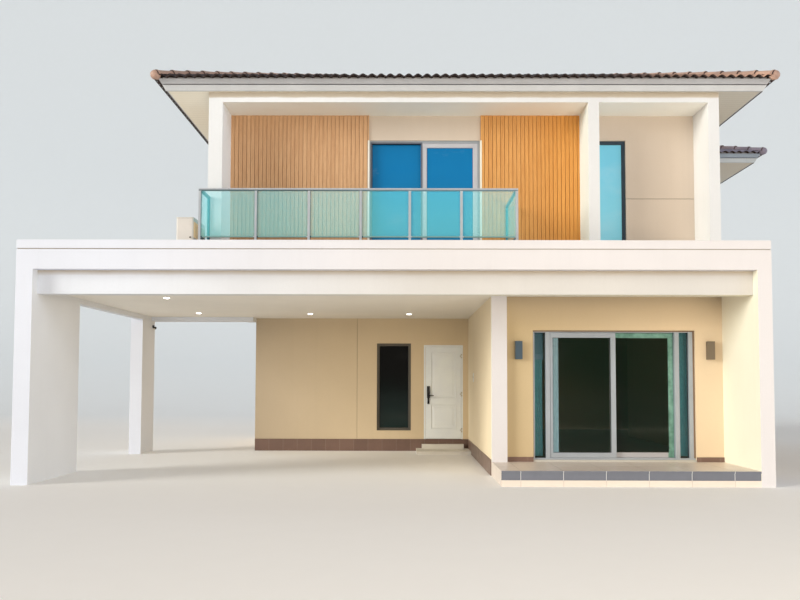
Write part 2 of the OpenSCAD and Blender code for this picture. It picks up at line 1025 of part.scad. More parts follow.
// Lock case with a round-cornered front, a cylinder guard below it and a lever
module door_lock() {
    case_w = 64;
    case_x = 6020;
    case_z = 1117;
    case_h = 255;
    case_d = 24;
    guard_w = 44;
    guard_h = 126;
    guard_d = 14;
    spindle_z = 1171;
    spindle_d = 22;
    lever_out = 50;
    lever_l = 122;
    lever_h = 20;
    lever_t = 14;
    mid_x = case_x + case_w / 2;
    color(dark_grey)
        site() {
            along_x(back_wall_y - case_d, case_d)
                translate([case_x, case_z]) rounded(case_w, case_h, 12);
            along_x(back_wall_y - guard_d, guard_d)
                translate([mid_x - guard_w / 2, case_z - guard_h]) rounded(guard_w, guard_h + 30, 10);
            along_x(back_wall_y - lever_out, lever_out - cut)
                translate([mid_x, spindle_z]) circle(d = spindle_d, $fn = 32);
            along_x(back_wall_y - lever_out - lever_t, lever_t)
                translate([mid_x - lever_h / 2, spindle_z - lever_h / 2])
                    rounded(lever_l, lever_h, lever_h / 2 - cut);
        }
}

// Box lights that shine up and down: hollow from both ends to a middle plate
module wall_lights() {
    light_w = 108;
    light_d = 90;
    foot_z = 1822;
    head = 284;
    shell = 4;
    plate = 20;
    depth = (head - plate) / 2;
    color(dark_grey)
        site()
            for (x = [7277, 10282])
                translate([x, living_y - light_d, foot_z])
                    difference() {
                        cube([light_w, light_d, head]);
                        for (z = [-cut, head - depth])
                            translate([shell, shell, z])
                                cube([light_w - 2 * shell, light_d - 2 * shell, depth + cut]);
                    }
}

// Recessed ceiling lights: a turned trim ring with its lens set back inside
module downlights() {
    ring_r = 57.5;
    lens_r = 42;
    ring_h = 10;
    color(white)
        site()
            for (p = [[1716, 1486], [1495, 4360], [3674, 4475], [5630, 4475]])
                translate([p[0], p[1], ceiling_z - ring_h])
                    rotate_extrude($fn = 48)
                        polygon([
                            [0, ring_h],
                            [ring_r, ring_h],
                            [ring_r, 6],
                            [lens_r + 6, 0],
                            [lens_r, 0],
                            [lens_r, 5],
                            [0, 5]
                        ]);
}

// Outdoor unit on two feet: a rounded plan carried up, a lid and a fan recess
module ac_unit() {
    unit_w = 271;
    unit_d = 780;
    feet_h = 80;
    unit_h = 570;
    lid_h = 12;
    lid_out = 5;
    fan_d = 430;
    foot_w = 60;
    color(cream)
        site()
            translate([1917, 1250, deck_z]) {
                difference() {
                    translate([0, 0, feet_h]) linear_extrude(unit_h) rounded(unit_w, unit_d, 25);
                    translate([-cut, unit_d * 0.42, feet_h + unit_h / 2])
                        rotate([0, 90, 0])
                            cylinder(h = 30 + cut, d = fan_d, $fn = 64);
                }
                translate([-lid_out, -lid_out, feet_h + unit_h])
                    linear_extrude(lid_h)
                        rounded(unit_w + 2 * lid_out, unit_d + 2 * lid_out, 25 + lid_out);
                for (y = [foot_w, unit_d - 2 * foot_w])
                    translate([20, y, 0]) cube([unit_w - 40, foot_w, feet_h]);
            }
}

// Dome camera: a turned base and dome on a short wall bracket
module security_camera() {
    color(dark_grey)
        site()
            translate([pier_w, rear_column_y + 640, 2580]) {
                translate([0, -20, 0]) cube([30, 40, 60]);
                translate([48, 0, 0])
                    rotate_extrude($fn = 32)
                        difference() {
                            union() {
                                circle(d = 60, $fn = 32);
                                translate([0, 0]) square([32, 22]);
                            }
                            translate([-40, -40]) square([40, 80]);
                        }
            }
}

ground_floor_slab();
porch_slab();
entrance_step();
left_pier();
right_pier();
rear_column();
porch_column();
front_band();
carport_beams();
ceilings();
first_floor_slab();
carport_back_wall();
carport_back_wall_header();
carport_side_wall();
living_front_wall();
living_front_wall_header();
ground_side_walls();
ground_rear_wall();
wing_ground_walls();
skirting();
upper_front_wall();
upper_side_walls();
upper_rear_wall();
wing_upper_walls();
frame_posts();
frame_beam();
wood_cladding();
eaves_soffit();
fascia();
main_roof();
wing_roof();
balcony_kerb();
balcony_railing();
balcony_glass();
balcony_door();
upper_windows();
ground_windows();
living_door_frame();
living_door_left_leaf();
living_door_right_leaf();
entrance_door_frame();
entrance_door_leaf();
door_lock();
wall_lights();
downlights();
ac_unit();
security_camera();
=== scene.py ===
import math

import bmesh
import bpy
from mathutils import Matrix, Vector


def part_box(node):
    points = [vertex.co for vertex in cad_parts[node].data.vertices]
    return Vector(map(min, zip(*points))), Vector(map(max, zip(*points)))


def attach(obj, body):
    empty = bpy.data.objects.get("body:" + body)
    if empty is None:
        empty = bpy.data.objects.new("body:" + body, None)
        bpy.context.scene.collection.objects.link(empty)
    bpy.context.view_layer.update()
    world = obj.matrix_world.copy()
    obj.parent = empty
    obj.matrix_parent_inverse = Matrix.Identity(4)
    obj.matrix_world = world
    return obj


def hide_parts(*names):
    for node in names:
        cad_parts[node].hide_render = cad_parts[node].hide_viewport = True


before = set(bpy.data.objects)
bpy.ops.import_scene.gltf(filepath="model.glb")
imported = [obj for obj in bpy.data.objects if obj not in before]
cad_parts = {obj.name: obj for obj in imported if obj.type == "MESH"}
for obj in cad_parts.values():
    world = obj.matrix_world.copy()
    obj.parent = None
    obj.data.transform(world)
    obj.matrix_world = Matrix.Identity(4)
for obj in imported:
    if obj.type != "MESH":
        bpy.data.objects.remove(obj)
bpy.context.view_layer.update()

# The house's own plan: millimetres from the outer front left corner of the band.
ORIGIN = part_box("left_pier")[0]
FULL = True


def at(x, y, z):
    return Vector((ORIGIN.x + x / 1000, ORIGIN.y + y / 1000, z / 1000))


def at_x(x):
    return at(x, 0, 0).x


def at_y(y):
    return at(0, y, 0).y


def srgb(r, g, b, a=1.0):
    def lin(c):
        c /= 255
        return c / 12.92 if c <= 0.04045 else ((c + 0.055) / 1.055) ** 2.4
    return (lin(r), lin(g), lin(b), a)


# ---------------------------------------------------------------- materials

class Shade:
    """Node tree of one material, put together in small steps."""

    def __init__(self, name, **constants):
        self.mat = bpy.data.materials.new(name)
        self.mat.use_nodes = True
        self.tree = self.mat.node_tree
        self.tree.nodes.clear()
        out = self.tree.nodes.new("ShaderNodeOutputMaterial")
        self.bsdf = self.tree.nodes.new("ShaderNodeBsdfPrincipled")
        self.tree.links.new(self.bsdf.outputs[0], out.inputs[0])
        self.where = self.tree.nodes.new("ShaderNodeTexCoord").outputs["Object"]
        for key, value in constants.items():
            self.bsdf.inputs[key.replace("_", " ")].default_value = value

    def put(self, socket, value):
        if isinstance(value, bpy.types.NodeSocket):
            self.tree.links.new(value, socket)
        else:
            socket.default_value = value

    def node(self, kind, ins=(), out=0, **props):
        n = self.tree.nodes.new(kind)
        for key, value in props.items():
            setattr(n, key, value)
        for key, value in dict(ins).items():
            self.put(n.inputs[key], value)
        return n.outputs[out]

    def math(self, op, a, b=0.0, c=0.0, clamp=False):
        return self.node("ShaderNodeMath", {0: a, 1: b, 2: c}, operation=op, use_clamp=clamp)

    def vector(self, op, a, b=None):
        ins = {0: a} if b is None else {0: a, 1: b}
        return self.node("ShaderNodeVectorMath", ins, operation=op)

    def axis(self, i):
        return self.node("ShaderNodeSeparateXYZ", {0: self.where}, out=i)

    def scaled(self, sx, sy, sz):
        return self.node("ShaderNodeMapping", {"Vector": self.where, "Scale": (sx, sy, sz)})

    def noise(self, scale, detail=4.0, rough=0.55, where=None):
        return self.node("ShaderNodeTexNoise",
                         {"Vector": where or self.where, "Scale": scale, "Detail": detail,
                          "Roughness": rough})

    def span(self, value, lo, hi, a=0.0, b=1.0):
        return self.node("ShaderNodeMapRange",
                         {"Value": value, "From Min": lo, "From Max": hi, "To Min": a, "To Max": b})

    def across(self, lo, hi):
        """0 to 1 between two places across the front, in plan millimetres."""
        return self.span(self.axis(0), at_x(lo), at_x(hi))

    def most(self, values):
        top = values[0]
        for value in values[1:]:
            top = self.math("MAXIMUM", top, value)
        return top

    def cells(self, start, size):
        """One random value for each cell of a grid."""
        cell = self.vector("DIVIDE", self.vector("SUBTRACT", self.where, start), size)
        return self.node("ShaderNodeTexWhiteNoise", {"Vector": self.vector("FLOOR", cell)},
                         noise_dimensions="3D")

    def mix(self, fac, a, b, mode="MIX"):
        n = self.tree.nodes.new("ShaderNodeMix")
        n.data_type = "RGBA"
        n.blend_type = mode
        for socket, value in ((0, fac), (6, a), (7, b)):
            self.put(n.inputs[socket], value)
        return n.outputs[2]

    def bump(self, height, distance, strength=1.0, normal=None):
        ins = {"Height": height, "Distance": distance, "Strength": strength}
        if normal is not None:
            ins["Normal"] = normal
        return self.node("ShaderNodeBump", ins)

    def line(self, axis, place, half, soft=0.0015):
        """1 on a straight line across one axis, 0 off it."""
        off = self.math("ABSOLUTE", self.math("SUBTRACT", self.axis(axis), place))
        return self.span(off, half, half + soft, 1.0, 0.0)

    def grid(self, axis, pitch, start, half):
        """1 on evenly spaced lines across one axis."""
        turn = self.math("DIVIDE", self.math("SUBTRACT", self.axis(axis), start), pitch)
        part = self.math("FRACT", self.math("ADD", turn, 0.5))
        off = self.math("ABSOLUTE", self.math("SUBTRACT", part, 0.5))
        return self.span(self.math("MULTIPLY", off, pitch), half, half + 0.001, 1.0, 0.0)

    def done(self, color, rough, normal):
        self.put(self.bsdf.inputs["Base Color"], color)
        self.put(self.bsdf.inputs["Roughness"], rough)
        self.put(self.bsdf.inputs["Normal"], normal)
        return self.mat


def tone(color, k):
    return (*(min(c * k, 1) for c in color[:3]), 1)


def render_coat(name, color, lines=(), grain=1.0, streak=0.05, eave=None, fade=(0.095, 0.065),
                sides=None):
    """Painted render: broad patches, faint run-off streaks, sand grain, saw-cut joints.

    eave is the height of the edge above the coat, under which it carries a painted shadow, and
    fade how far below it the painted shadow ends and is full; sides gives two places across the
    front and the colours that the coat fades between there, which paint its light and shade.
    """
    s = Shade(name)
    patch = s.noise(0.55, 3.0)
    fine = s.noise(46.0, 5.0, 0.65)
    runs = s.noise(1.0, 4.0, 0.6, s.scaled(7.0, 7.0, 0.35))
    col = s.mix(s.span(patch, 0.3, 0.7), tone(color, 0.955), tone(color, 1.03))
    col = s.mix(s.span(runs, 0.52, 0.75, 0.0, streak), col, tone(color, 0.62))
    col = s.mix(s.span(fine, 0.35, 0.7, 0.0, 0.10), col, tone(color, 0.8))
    # painted light and shade that change across the front
    if sides:
        x0, x1, left, right = sides
        col = s.mix(1.0, s.mix(s.across(x0, x1), left, right),
                    s.vector("DIVIDE", col, color[:3]), "MULTIPLY")
    # painted shadow under the edge above the coat
    if eave:
        wander = s.span(s.noise(3.0, 3.0), 0.3, 0.7, -0.006, 0.006)
        height = s.math("ADD", s.axis(2), wander)
        darkening = s.span(height, eave - fade[0], eave - fade[1], 0.0, 0.8)
        col = s.mix(darkening, col, srgb(176, 160, 136))
    grit = s.noise(260.0, 2.0, 0.5)
    normal = s.bump(fine, 0.0016 * grain, 0.55)
    normal = s.bump(grit, 0.0006 * grain, 0.6, normal)
    for axis, place in lines:
        cut = s.line(axis, place, 0.004, 0.003)
        col = s.mix(s.math("MULTIPLY", cut, 0.55), col, tone(color, 0.38))
        normal = s.bump(s.math("MULTIPLY", cut, -1.0), 0.006, 1.0, normal)
    return s.done(col, s.span(fine, 0.3, 0.7, 0.78, 0.92), normal)


def wood_boards():
    """Battens left and right of the balcony door, each with its own grain and shade."""
    s = Shade("wood_battens")
    pitch, board_share = 0.070, 0.871
    first_left, first_right, door_middle = 2510, 6857, 5900
    x = s.axis(0)
    left = s.math("DIVIDE", s.math("SUBTRACT", x, at_x(first_left)), pitch)
    right = s.math("DIVIDE", s.math("SUBTRACT", x, at_x(first_right)), pitch)
    is_right = s.math("GREATER_THAN", x, at_x(door_middle))
    is_left = s.math("SUBTRACT", 1.0, is_right)

    def by_side(a, b):
        return s.math("ADD", s.math("MULTIPLY", a, is_left), s.math("MULTIPLY", b, is_right))

    board = s.math("FLOOR", by_side(left, s.math("ADD", right, 60.0)))
    joint = s.math("FRACT", by_side(left, right))
    pick = s.node("ShaderNodeTexWhiteNoise", {"W": board}, noise_dimensions="1D")
    shift = s.node("ShaderNodeCombineXYZ", {0: s.math("MULTIPLY", pick, 9.0), 1: 0.0,
                                            2: s.math("MULTIPLY", pick, 31.0)})
    moved = s.vector("ADD", s.where, shift)
    run = s.node("ShaderNodeMapping", {"Vector": moved, "Scale": (26.0, 26.0, 0.9)})
    thin = s.node("ShaderNodeMapping", {"Vector": moved, "Scale": (60.0, 60.0, 1.6)})
    grain = s.noise(3.2, 8.0, 0.62, run)
    vein = s.noise(9.0, 4.0, 0.5, thin)
    # painted light: the battens left of the door are paler and cooler, those on the right warmer
    # and more orange
    light = s.mix(is_right, srgb(214, 173, 133), srgb(222, 166, 100))
    mid = s.mix(is_right, srgb(196, 153, 113), srgb(203, 144, 78))
    dark = s.mix(is_right, srgb(158, 108, 70), srgb(160, 96, 44))
    col = s.mix(s.span(grain, 0.38, 0.66), light, mid)
    col = s.mix(s.span(vein, 0.55, 0.75, 0.0, 0.45), col, dark)
    col = s.mix(s.span(pick, 0.0, 1.0, 0.0, 0.34), col, s.mix(0.5, col, dark))
    # painted light: the right end is warmer, as light thrown back from the sunlit fin
    amber = s.mix(grain, srgb(240, 168, 66), srgb(206, 130, 40))
    col = s.mix(s.math("MULTIPLY", s.across(7500, 8700), 0.6), col, amber)
    # a fine line along the middle of each batten
    off = s.math("ABSOLUTE", s.math("SUBTRACT", joint, 0.43))
    col = s.mix(s.span(off, 0.02, 0.05, 0.35, 0.0), col, s.mix(0.5, col, dark))
    # the open joints between the battens are darker, by an amount that wanders
    depth = s.span(s.noise(2.0, 3.0, 0.5, shift), 0.35, 0.65, 0.3, 0.75)
    darken = s.math("MULTIPLY", s.math("GREATER_THAN", joint, board_share), depth)
    col = s.mix(darken, col, s.mix(0.6, col, srgb(96, 54, 26)))
    return s.done(col, s.span(grain, 0.3, 0.7, 0.42, 0.6), s.bump(grain, 0.0012, 0.6))


def tile_coat(name, light, mid, dark, street=None, rows=(1950, 2600)):
    """Glazed clay: every tile of the grid has its own shade, with soot and fine pits.

    street gives the colours of the first rows above the street, at the left and at the right-hand
    end of the eave, which paint their light and shade, and rows how far back they fade out.
    """
    s = Shade(name)
    # a cell of the grid is two waves wide and one row deep
    pick = s.cells(at(1400, 1515, 0), (0.3, 0.33, 9.0))
    darkening = s.noise(0.9, 3.0, 0.6)
    fine = s.noise(38.0, 4.0, 0.6)
    col = s.mix(pick, light, mid)
    # painted light and shade on the first rows above the street
    if street:
        row = s.mix(s.across(8800, 11400), street[0], street[1])
        row = s.mix(pick, row, s.mix(1.0, row, (0.68, 0.68, 0.7, 1), "MULTIPLY"))
        front = s.span(s.axis(1), at_y(rows[0]), at_y(rows[1]), 1.0, 0.0)
        col = s.mix(front, col, row)
    col = s.mix(s.span(darkening, 0.4, 0.7, 0.0, 0.35), col, dark)
    col = s.mix(s.span(fine, 0.5, 0.8, 0.0, 0.4), col, dark)
    return s.done(col, s.span(fine, 0.3, 0.7, 0.42, 0.62), s.bump(fine, 0.0012, 0.5))


def tiled(name, color, grout, pitch_x, pitch_y, start, rough=0.25, half=0.0025, spread=0.1,
          veins=0.35):
    """Square-laid tiles on every face: joints across each axis that has a pitch."""
    s = Shade(name)
    pick = s.cells(tuple(start), (pitch_x or 1e3, pitch_y or 1e3, 1e3))
    cloud = s.noise(7.0, 6.0, 0.6)
    fine = s.noise(90.0, 3.0, 0.6)
    col = s.mix(pick, tone(color, 1 - spread), tone(color, 1 + spread))
    col = s.mix(s.span(cloud, 0.4, 0.7, 0.0, veins), col, tone(color, 0.72))
    line = s.most([s.grid(i, pitch, start[i], half)
                   for i, pitch in enumerate((pitch_x, pitch_y)) if pitch])
    col = s.mix(line, col, grout)
    normal = s.bump(s.math("MULTIPLY", line, -1.0), 0.003, 0.8, s.bump(fine, 0.0004, 0.5))
    cloudy = s.span(cloud, 0.3, 0.7, rough, rough + 0.12)
    return s.done(col, s.math("ADD", cloudy, s.math("MULTIPLY", line, 0.4)), normal)


def painted(name, color, rough=0.4, metal=0.0, darken=0.2, **constants):
    """Paint or powder coat: orange-peel bump, faint dirt, roughness that wanders."""
    s = Shade(name, Metallic=metal, **constants)
    broad = s.noise(2.2, 4.0)
    fine = s.noise(180.0, 2.0, 0.5)
    col = s.mix(s.span(broad, 0.35, 0.7), tone(color, 0.95), tone(color, 1.04))
    grime = s.noise(9.0, 6.0, 0.65)
    col = s.mix(s.span(grime, 0.56, 0.8, 0.0, darken), col, tone(color, 0.6))
    wander = s.span(broad, 0.3, 0.7, rough - 0.06, rough + 0.08)
    return s.done(col, wander, s.bump(fine, 0.0003, 0.25))


def pane(name, low, high, z0, z1, alpha=1.0, cloud=0.25, metal=0.0, shine=0.5):
    """Tinted glass whose colour runs from low to high between two heights, partly as painted sky
    reflection.
    """
    s = Shade(name, Alpha=alpha, IOR=1.52, Metallic=metal, Specular_IOR_Level=shine)
    drift = s.noise(0.9, 5.0, 0.6, s.scaled(1.0, 1.0, 1.8))
    rise = s.span(s.axis(2), z0, z1)
    rise = s.math("ADD", rise, s.span(drift, 0.3, 0.7, -0.12, 0.12), clamp=True)
    col = s.mix(rise, low, high)
    # pale patches: painted reflection of clouds
    cloud_reflection = s.mix(0.6, col, (0.8, 0.87, 0.9, 1))
    col = s.mix(s.span(drift, 0.55, 0.75, 0.0, cloud), col, cloud_reflection)
    ripple = s.noise(2.4, 2.0, 0.4)
    return s.done(col, s.span(ripple, 0.3, 0.7, 0.04, 0.07), s.bump(ripple, 0.0012, 0.25))


def cloth(name, color, lit):
    """Woven curtain; lit is the weak light of its own that stands for sun on it."""
    s = Shade(name, Sheen_Weight=0.3, Emission_Color=(0.78, 0.95, 1.0, 1), Emission_Strength=lit)
    weave = s.node("ShaderNodeTexWave", {"Vector": s.where, "Scale": 260.0, "Distortion": 0.4},
                   bands_direction="Z")
    fine = s.noise(18.0, 4.0)
    col = s.mix(s.span(fine, 0.35, 0.7), tone(color, 0.88), tone(color, 1.08))
    return s.done(col, s.span(fine, 0.3, 0.7, 0.85, 0.95), s.bump(weave, 0.0004, 0.5))


def soffit_boards():
    """Boards that run along the front; the left end is paler as painted light, the right darker as
    painted shade.
    """
    s = Shade("soffit_boards")
    lines = s.grid(1, 0.1, 0.0, 0.0022)
    fine = s.noise(30.0, 4.0)
    side = s.across(2000, 11000)
    board = s.mix(fine, s.mix(side, srgb(255, 249, 234), srgb(220, 215, 203)),
                  s.mix(side, srgb(252, 243, 224), srgb(212, 207, 195)))
    col = s.mix(s.math("MULTIPLY", lines, 0.5), board, srgb(178, 168, 152))
    normal = s.bump(s.math("MULTIPLY", lines, -1.0), 0.003, 0.8)
    return s.done(col, s.span(fine, 0.3, 0.7, 0.55, 0.7), normal)


def green_reflection_coat():
    """Aluminium coat with a painted green reflection towards the top and the right of the inner
    leaf.
    """
    s = Shade("aluminium_green_reflection", Metallic=0.3)
    fine = s.noise(9.0, 5.0, 0.6)
    # painted reflection along the top rail and the right stile
    green = s.math("MAXIMUM", s.span(s.axis(2), 2.150, 2.166), s.across(9690, 9712))
    reflected_green = s.mix(s.span(fine, 0.35, 0.65), srgb(92, 136, 120), srgb(134, 180, 166))
    col = s.mix(green, srgb(190, 190, 196), reflected_green)
    return s.done(col, s.span(fine, 0.3, 0.7, 0.3, 0.42), s.bump(fine, 0.0003, 0.3))


RAILING_POSTS = (2306, 3190, 4028, 4845, 5617, 6431, 7304)


def railing_coat():
    """Brushed coat; the left posts turn dark in the groove that holds the glass."""
    s = Shade("railing_coat", Metallic=0.3)
    broad = s.noise(2.2, 4.0)
    brush = s.noise(1.0, 4.0, 0.6, s.scaled(90.0, 90.0, 2.0))
    post = s.most([s.line(0, at_x(x), 0.034, 0.002) for x in RAILING_POSTS])
    groove = s.most([s.line(0, at_x(x + 29), 0.010, 0.002) for x in RAILING_POSTS[:4]])
    groove = s.math("MULTIPLY", groove, s.span(s.axis(2), 4.462, 4.466, 1.0, 0.0))
    col = s.mix(s.span(broad, 0.35, 0.7), srgb(184, 190, 200), srgb(200, 206, 214))
    col = s.mix(s.span(brush, 0.4, 0.7, 0.0, 0.3), col, srgb(150, 158, 170))
    # the foot rail takes the colour of the glass, the returns lie in shade
    foot = s.math("MULTIPLY", s.span(s.axis(2), 3.79, 3.8, 1.0, 0.0),
                  s.math("SUBTRACT", 1.0, post))
    col = s.mix(foot, col, srgb(132, 172, 172))
    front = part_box("balcony_railing")[0].y
    col = s.mix(s.span(s.axis(1), front + 0.07, front + 0.09), col, srgb(66, 128, 146))
    col = s.mix(groove, col, srgb(48, 74, 92))
    # a shadow line runs along the foot of the top rail
    under = s.mix(s.across(3800, 5600), srgb(44, 66, 72), srgb(112, 132, 148))
    col = s.mix(s.line(2, 4.478, 0.006, 0.003), col, under)
    return s.done(col, s.span(brush, 0.3, 0.7, 0.3, 0.42), s.bump(brush, 0.0004, 0.5))


# painted light: cooler at the left end, warmer at the right
CREAM = render_coat("render_cream", srgb(231, 228, 224),
                    sides=(1500, 9000, srgb(222, 224, 228), srgb(240, 236, 218)))
# darker copy for the street faces, as painted shade, cooler at the left
CREAM_FRONT = render_coat("render_cream_front", srgb(222, 219, 220),
                          sides=(1500, 6000, srgb(220, 225, 238), srgb(213, 211, 215)))
# the beam's street face: painted shadow under the band, painted shade over the porch at the right
BEAM_FRONT = render_coat("render_cream_beam", srgb(222, 219, 220), eave=3.093, fade=(0.11, 0.035),
                         sides=(1500, 6000, srgb(220, 225, 235), srgb(203, 201, 199)))
# the head coats carry a painted shadow under the eave; cooler at the left as painted light
HEAD_CREAM = render_coat("render_cream_head", srgb(232, 234, 238), eave=6.26,
                         sides=(2400, 10000, srgb(238, 243, 250), srgb(229, 229, 229)))
# darker copy for the street faces of the head, as painted shade
HEAD_FRONT = render_coat("render_cream_head_front", srgb(224, 226, 230), eave=6.26,
                         sides=(3000, 8800, srgb(228, 231, 236), srgb(217, 219, 223)))
# greener copy for the left side of the fin, as painted light
HEAD_FIN = render_coat("render_cream_fin", srgb(233, 240, 236), eave=6.26)
# the drip groove of the band, painted darker as its shade
GROOVE_SHADE = painted("groove_shade", srgb(176, 170, 164), 0.8)
# paler copy of the ceiling paint for the underside of the frame's beam, as painted light
CEILING_LIT = render_coat("ceiling_paint_lit", srgb(255, 253, 246), grain=0.5, streak=0.0)
CEILING = render_coat("ceiling_paint", srgb(241, 236, 226), grain=0.5, streak=0.0)
# painted shade at the left end of the back wall
TAN = render_coat("render_tan", srgb(222, 198, 166), lines=[(0, at_x(4537))],
                  sides=(2400, 6400, srgb(184, 168, 145), srgb(226, 206, 172)))
# lighter copy of the tan coat for the side wall, as painted light
TAN_SIDE = render_coat("render_tan_side", srgb(236, 220, 189))
BEIGE = render_coat("render_beige", srgb(220, 196, 164))
# painted shadow under the beam; painted shade at the left, painted sunlight at the right
LIVING = render_coat("render_living", srgb(210, 190, 160), eave=2.81, fade=(0.5, 0.05),
                     sides=(7300, 10600, srgb(192, 172, 136), srgb(228, 208, 180)))
PALE = render_coat("render_pale", srgb(208, 195, 182), lines=[(2, 4.642)])
CONCRETE = render_coat("slab_concrete_cast", srgb(186, 184, 178), grain=2.0, streak=0.1)
ROOF_COAT = render_coat("flat_roof_coat", srgb(226, 222, 212), grain=1.6, streak=0.08)
SOFFIT = soffit_boards()
WOOD = wood_boards()
# first rows above the street: painted shade at the left, painted sunlight at the right-hand end
TILE = tile_coat("roof_tile_glaze", srgb(112, 100, 101), srgb(92, 82, 85), srgb(58, 53, 58),
                 (srgb(50, 44, 49), srgb(200, 162, 142)))
# cooler copy for the wing's tiles, as painted shade under the sky, bluest on the first rows
TILE_WING_SHADE = tile_coat("wing_tile_glaze_shaded", srgb(112, 103, 107), srgb(92, 85, 90), srgb(60, 56, 62),
                      (srgb(136, 134, 156), srgb(136, 134, 156)), (6250, 6900))
CAP = tile_coat("ridge_cap_glaze", srgb(202, 166, 148), srgb(172, 142, 130), srgb(114, 95, 90))
# cooler copy of the caps for the wing, as painted shade under the sky
CAP_WING_SHADE = tile_coat("wing_cap_glaze_shaded", srgb(168, 142, 136), srgb(142, 122, 120), srgb(98, 86, 90),
                     (srgb(144, 136, 154), srgb(144, 136, 154)), (6050, 6900))
# mortar in the bedding and in the caps' mouths; also the painted shade under the first row of tiles
MORTAR_AND_SHADE = painted("mortar_bedding_and_shade", srgb(78, 64, 62), 0.9)
DARK_STRIP = painted("dark_edge_strip", srgb(72, 64, 62), 0.6)
# the upper board, the gap between the boards and the wing's boards take darker and cooler coats as
# painted shade
FASCIA = painted("fascia_paint_coat", srgb(200, 203, 208), 0.42)
FASCIA_WING_SHADE = painted("fascia_paint_wing_shaded", srgb(192, 200, 208), 0.42)
FASCIA_UP_WING_SHADE = painted("fascia_upper_wing_shaded", srgb(154, 168, 186), 0.42)
FASCIA_UP_SHADE = painted("fascia_upper_shaded", srgb(178, 180, 186), 0.42)
FASCIA_GAP = painted("fascia_gap", srgb(70, 68, 72), 0.7)
SKIRT = tiled("skirting_tiles", srgb(120, 96, 86), srgb(150, 134, 124), 0.3, 0.3,
              at(2370, 5750, 0), 0.3, 0.0015)
RISER = tiled("porch_riser_tiles", srgb(112, 116, 128), srgb(220, 220, 222), 0.6, None,
              at(7172, 0, 0), 0.12, 0.003, 0.05, 0.2)
STEP = render_coat("step_cast", srgb(226, 222, 214), grain=1.4)
STONE = tiled("porch_floor_tiles", srgb(226, 214, 204), srgb(182, 174, 166), 0.6, 0.6,
              at(7172, 75, 0), 0.3, 0.002, 0.03, 0.12)
ALU = painted("aluminium_coat", srgb(172, 180, 190), 0.34, 0.3)
# dark strips that stand for the reveal's shadow
REVEAL_SHADOW = painted("reveal_shadow_strips", srgb(126, 106, 86), 0.8)
ALU_GREEN_REFLECTION = green_reflection_coat()
ALU_PALE = painted("aluminium_pale", srgb(202, 204, 214), 0.36, 0.2)
ALU_SHADE = painted("aluminium_shade", srgb(112, 118, 132), 0.36, 0.3)
RAILING = railing_coat()
DARK = painted("dark_aluminium_coat", srgb(96, 92, 84), 0.4, 0.2)
SLATE = painted("slate_aluminium_coat", srgb(62, 78, 92), 0.38, 0.2)
GASKET = painted("gasket_rubber", srgb(22, 23, 24), 0.6)
WHITE = painted("door_paint", srgb(244, 250, 255), 0.34, darken=0.08)
TRIM = painted("trim_white", srgb(236, 236, 232), 0.4)
BLACK = painted("lock_plastic", srgb(24, 24, 26), 0.28)
SPINDLE = painted("lever_metal", srgb(46, 46, 50), 0.22, 0.8)
HINGE = painted("hinge_steel", srgb(206, 204, 196), 0.36, 0.4)
ENAMEL = painted("unit_enamel_coat", srgb(215, 211, 208), 0.36)
GRILLE = painted("unit_grille", srgb(255, 224, 188), 0.5)
LAMP_GREY = painted("lamp_powder_coat", srgb(70, 87, 100), 0.5, 0.1)
# warmer copy of the lamp coat: painted reflection of warm surroundings
LAMP_WARM_REFLECTION = painted("lamp_powder_coat_warm_reflection", srgb(118, 106, 91), 0.5, 0.1)
LENS = painted("lamp_lens", srgb(240, 240, 236), 0.2)
GLOW = painted("downlight_lens", srgb(250, 248, 240), 0.3,
               Emission_Color=(1, 0.98, 0.94, 1), Emission_Strength=5.0)
# glass colours: partly tint, partly painted reflection of the sky
BLUE_GLASS = pane("glass_blue", srgb(30, 134, 186), srgb(6, 122, 186), 4.3, 5.0, metal=0.15)
BAY_GLASS = pane("glass_bay", srgb(142, 222, 248), srgb(124, 212, 246), 4.2, 5.4)
DARK_GLASS = pane("glass_dark", srgb(6, 34, 30), srgb(8, 10, 8), 0.4, 1.6,
                  alpha=0.97, cloud=0.03, shine=0.25)
LIVING_GLASS = pane("glass_living", srgb(6, 34, 26), srgb(16, 40, 28), 0.4, 2.3,
                    alpha=0.3, cloud=0.04, shine=0.25)
RAIL_GLASS = pane("glass_railing", srgb(134, 246, 255), srgb(122, 240, 255), 3.8, 4.45,
                  alpha=0.2, cloud=0.1)
CURTAIN = cloth("curtain_teal", srgb(150, 236, 244), 0.04)
CURTAIN_LIT = cloth("curtain_sunlit", srgb(214, 240, 244), 0.2)
SLAT = painted("blind_slats", srgb(168, 216, 246), 0.5)


# ------------------------------------------------------------------- meshes

def circle(n):
    return [2 * math.pi * i / n for i in range(n)]


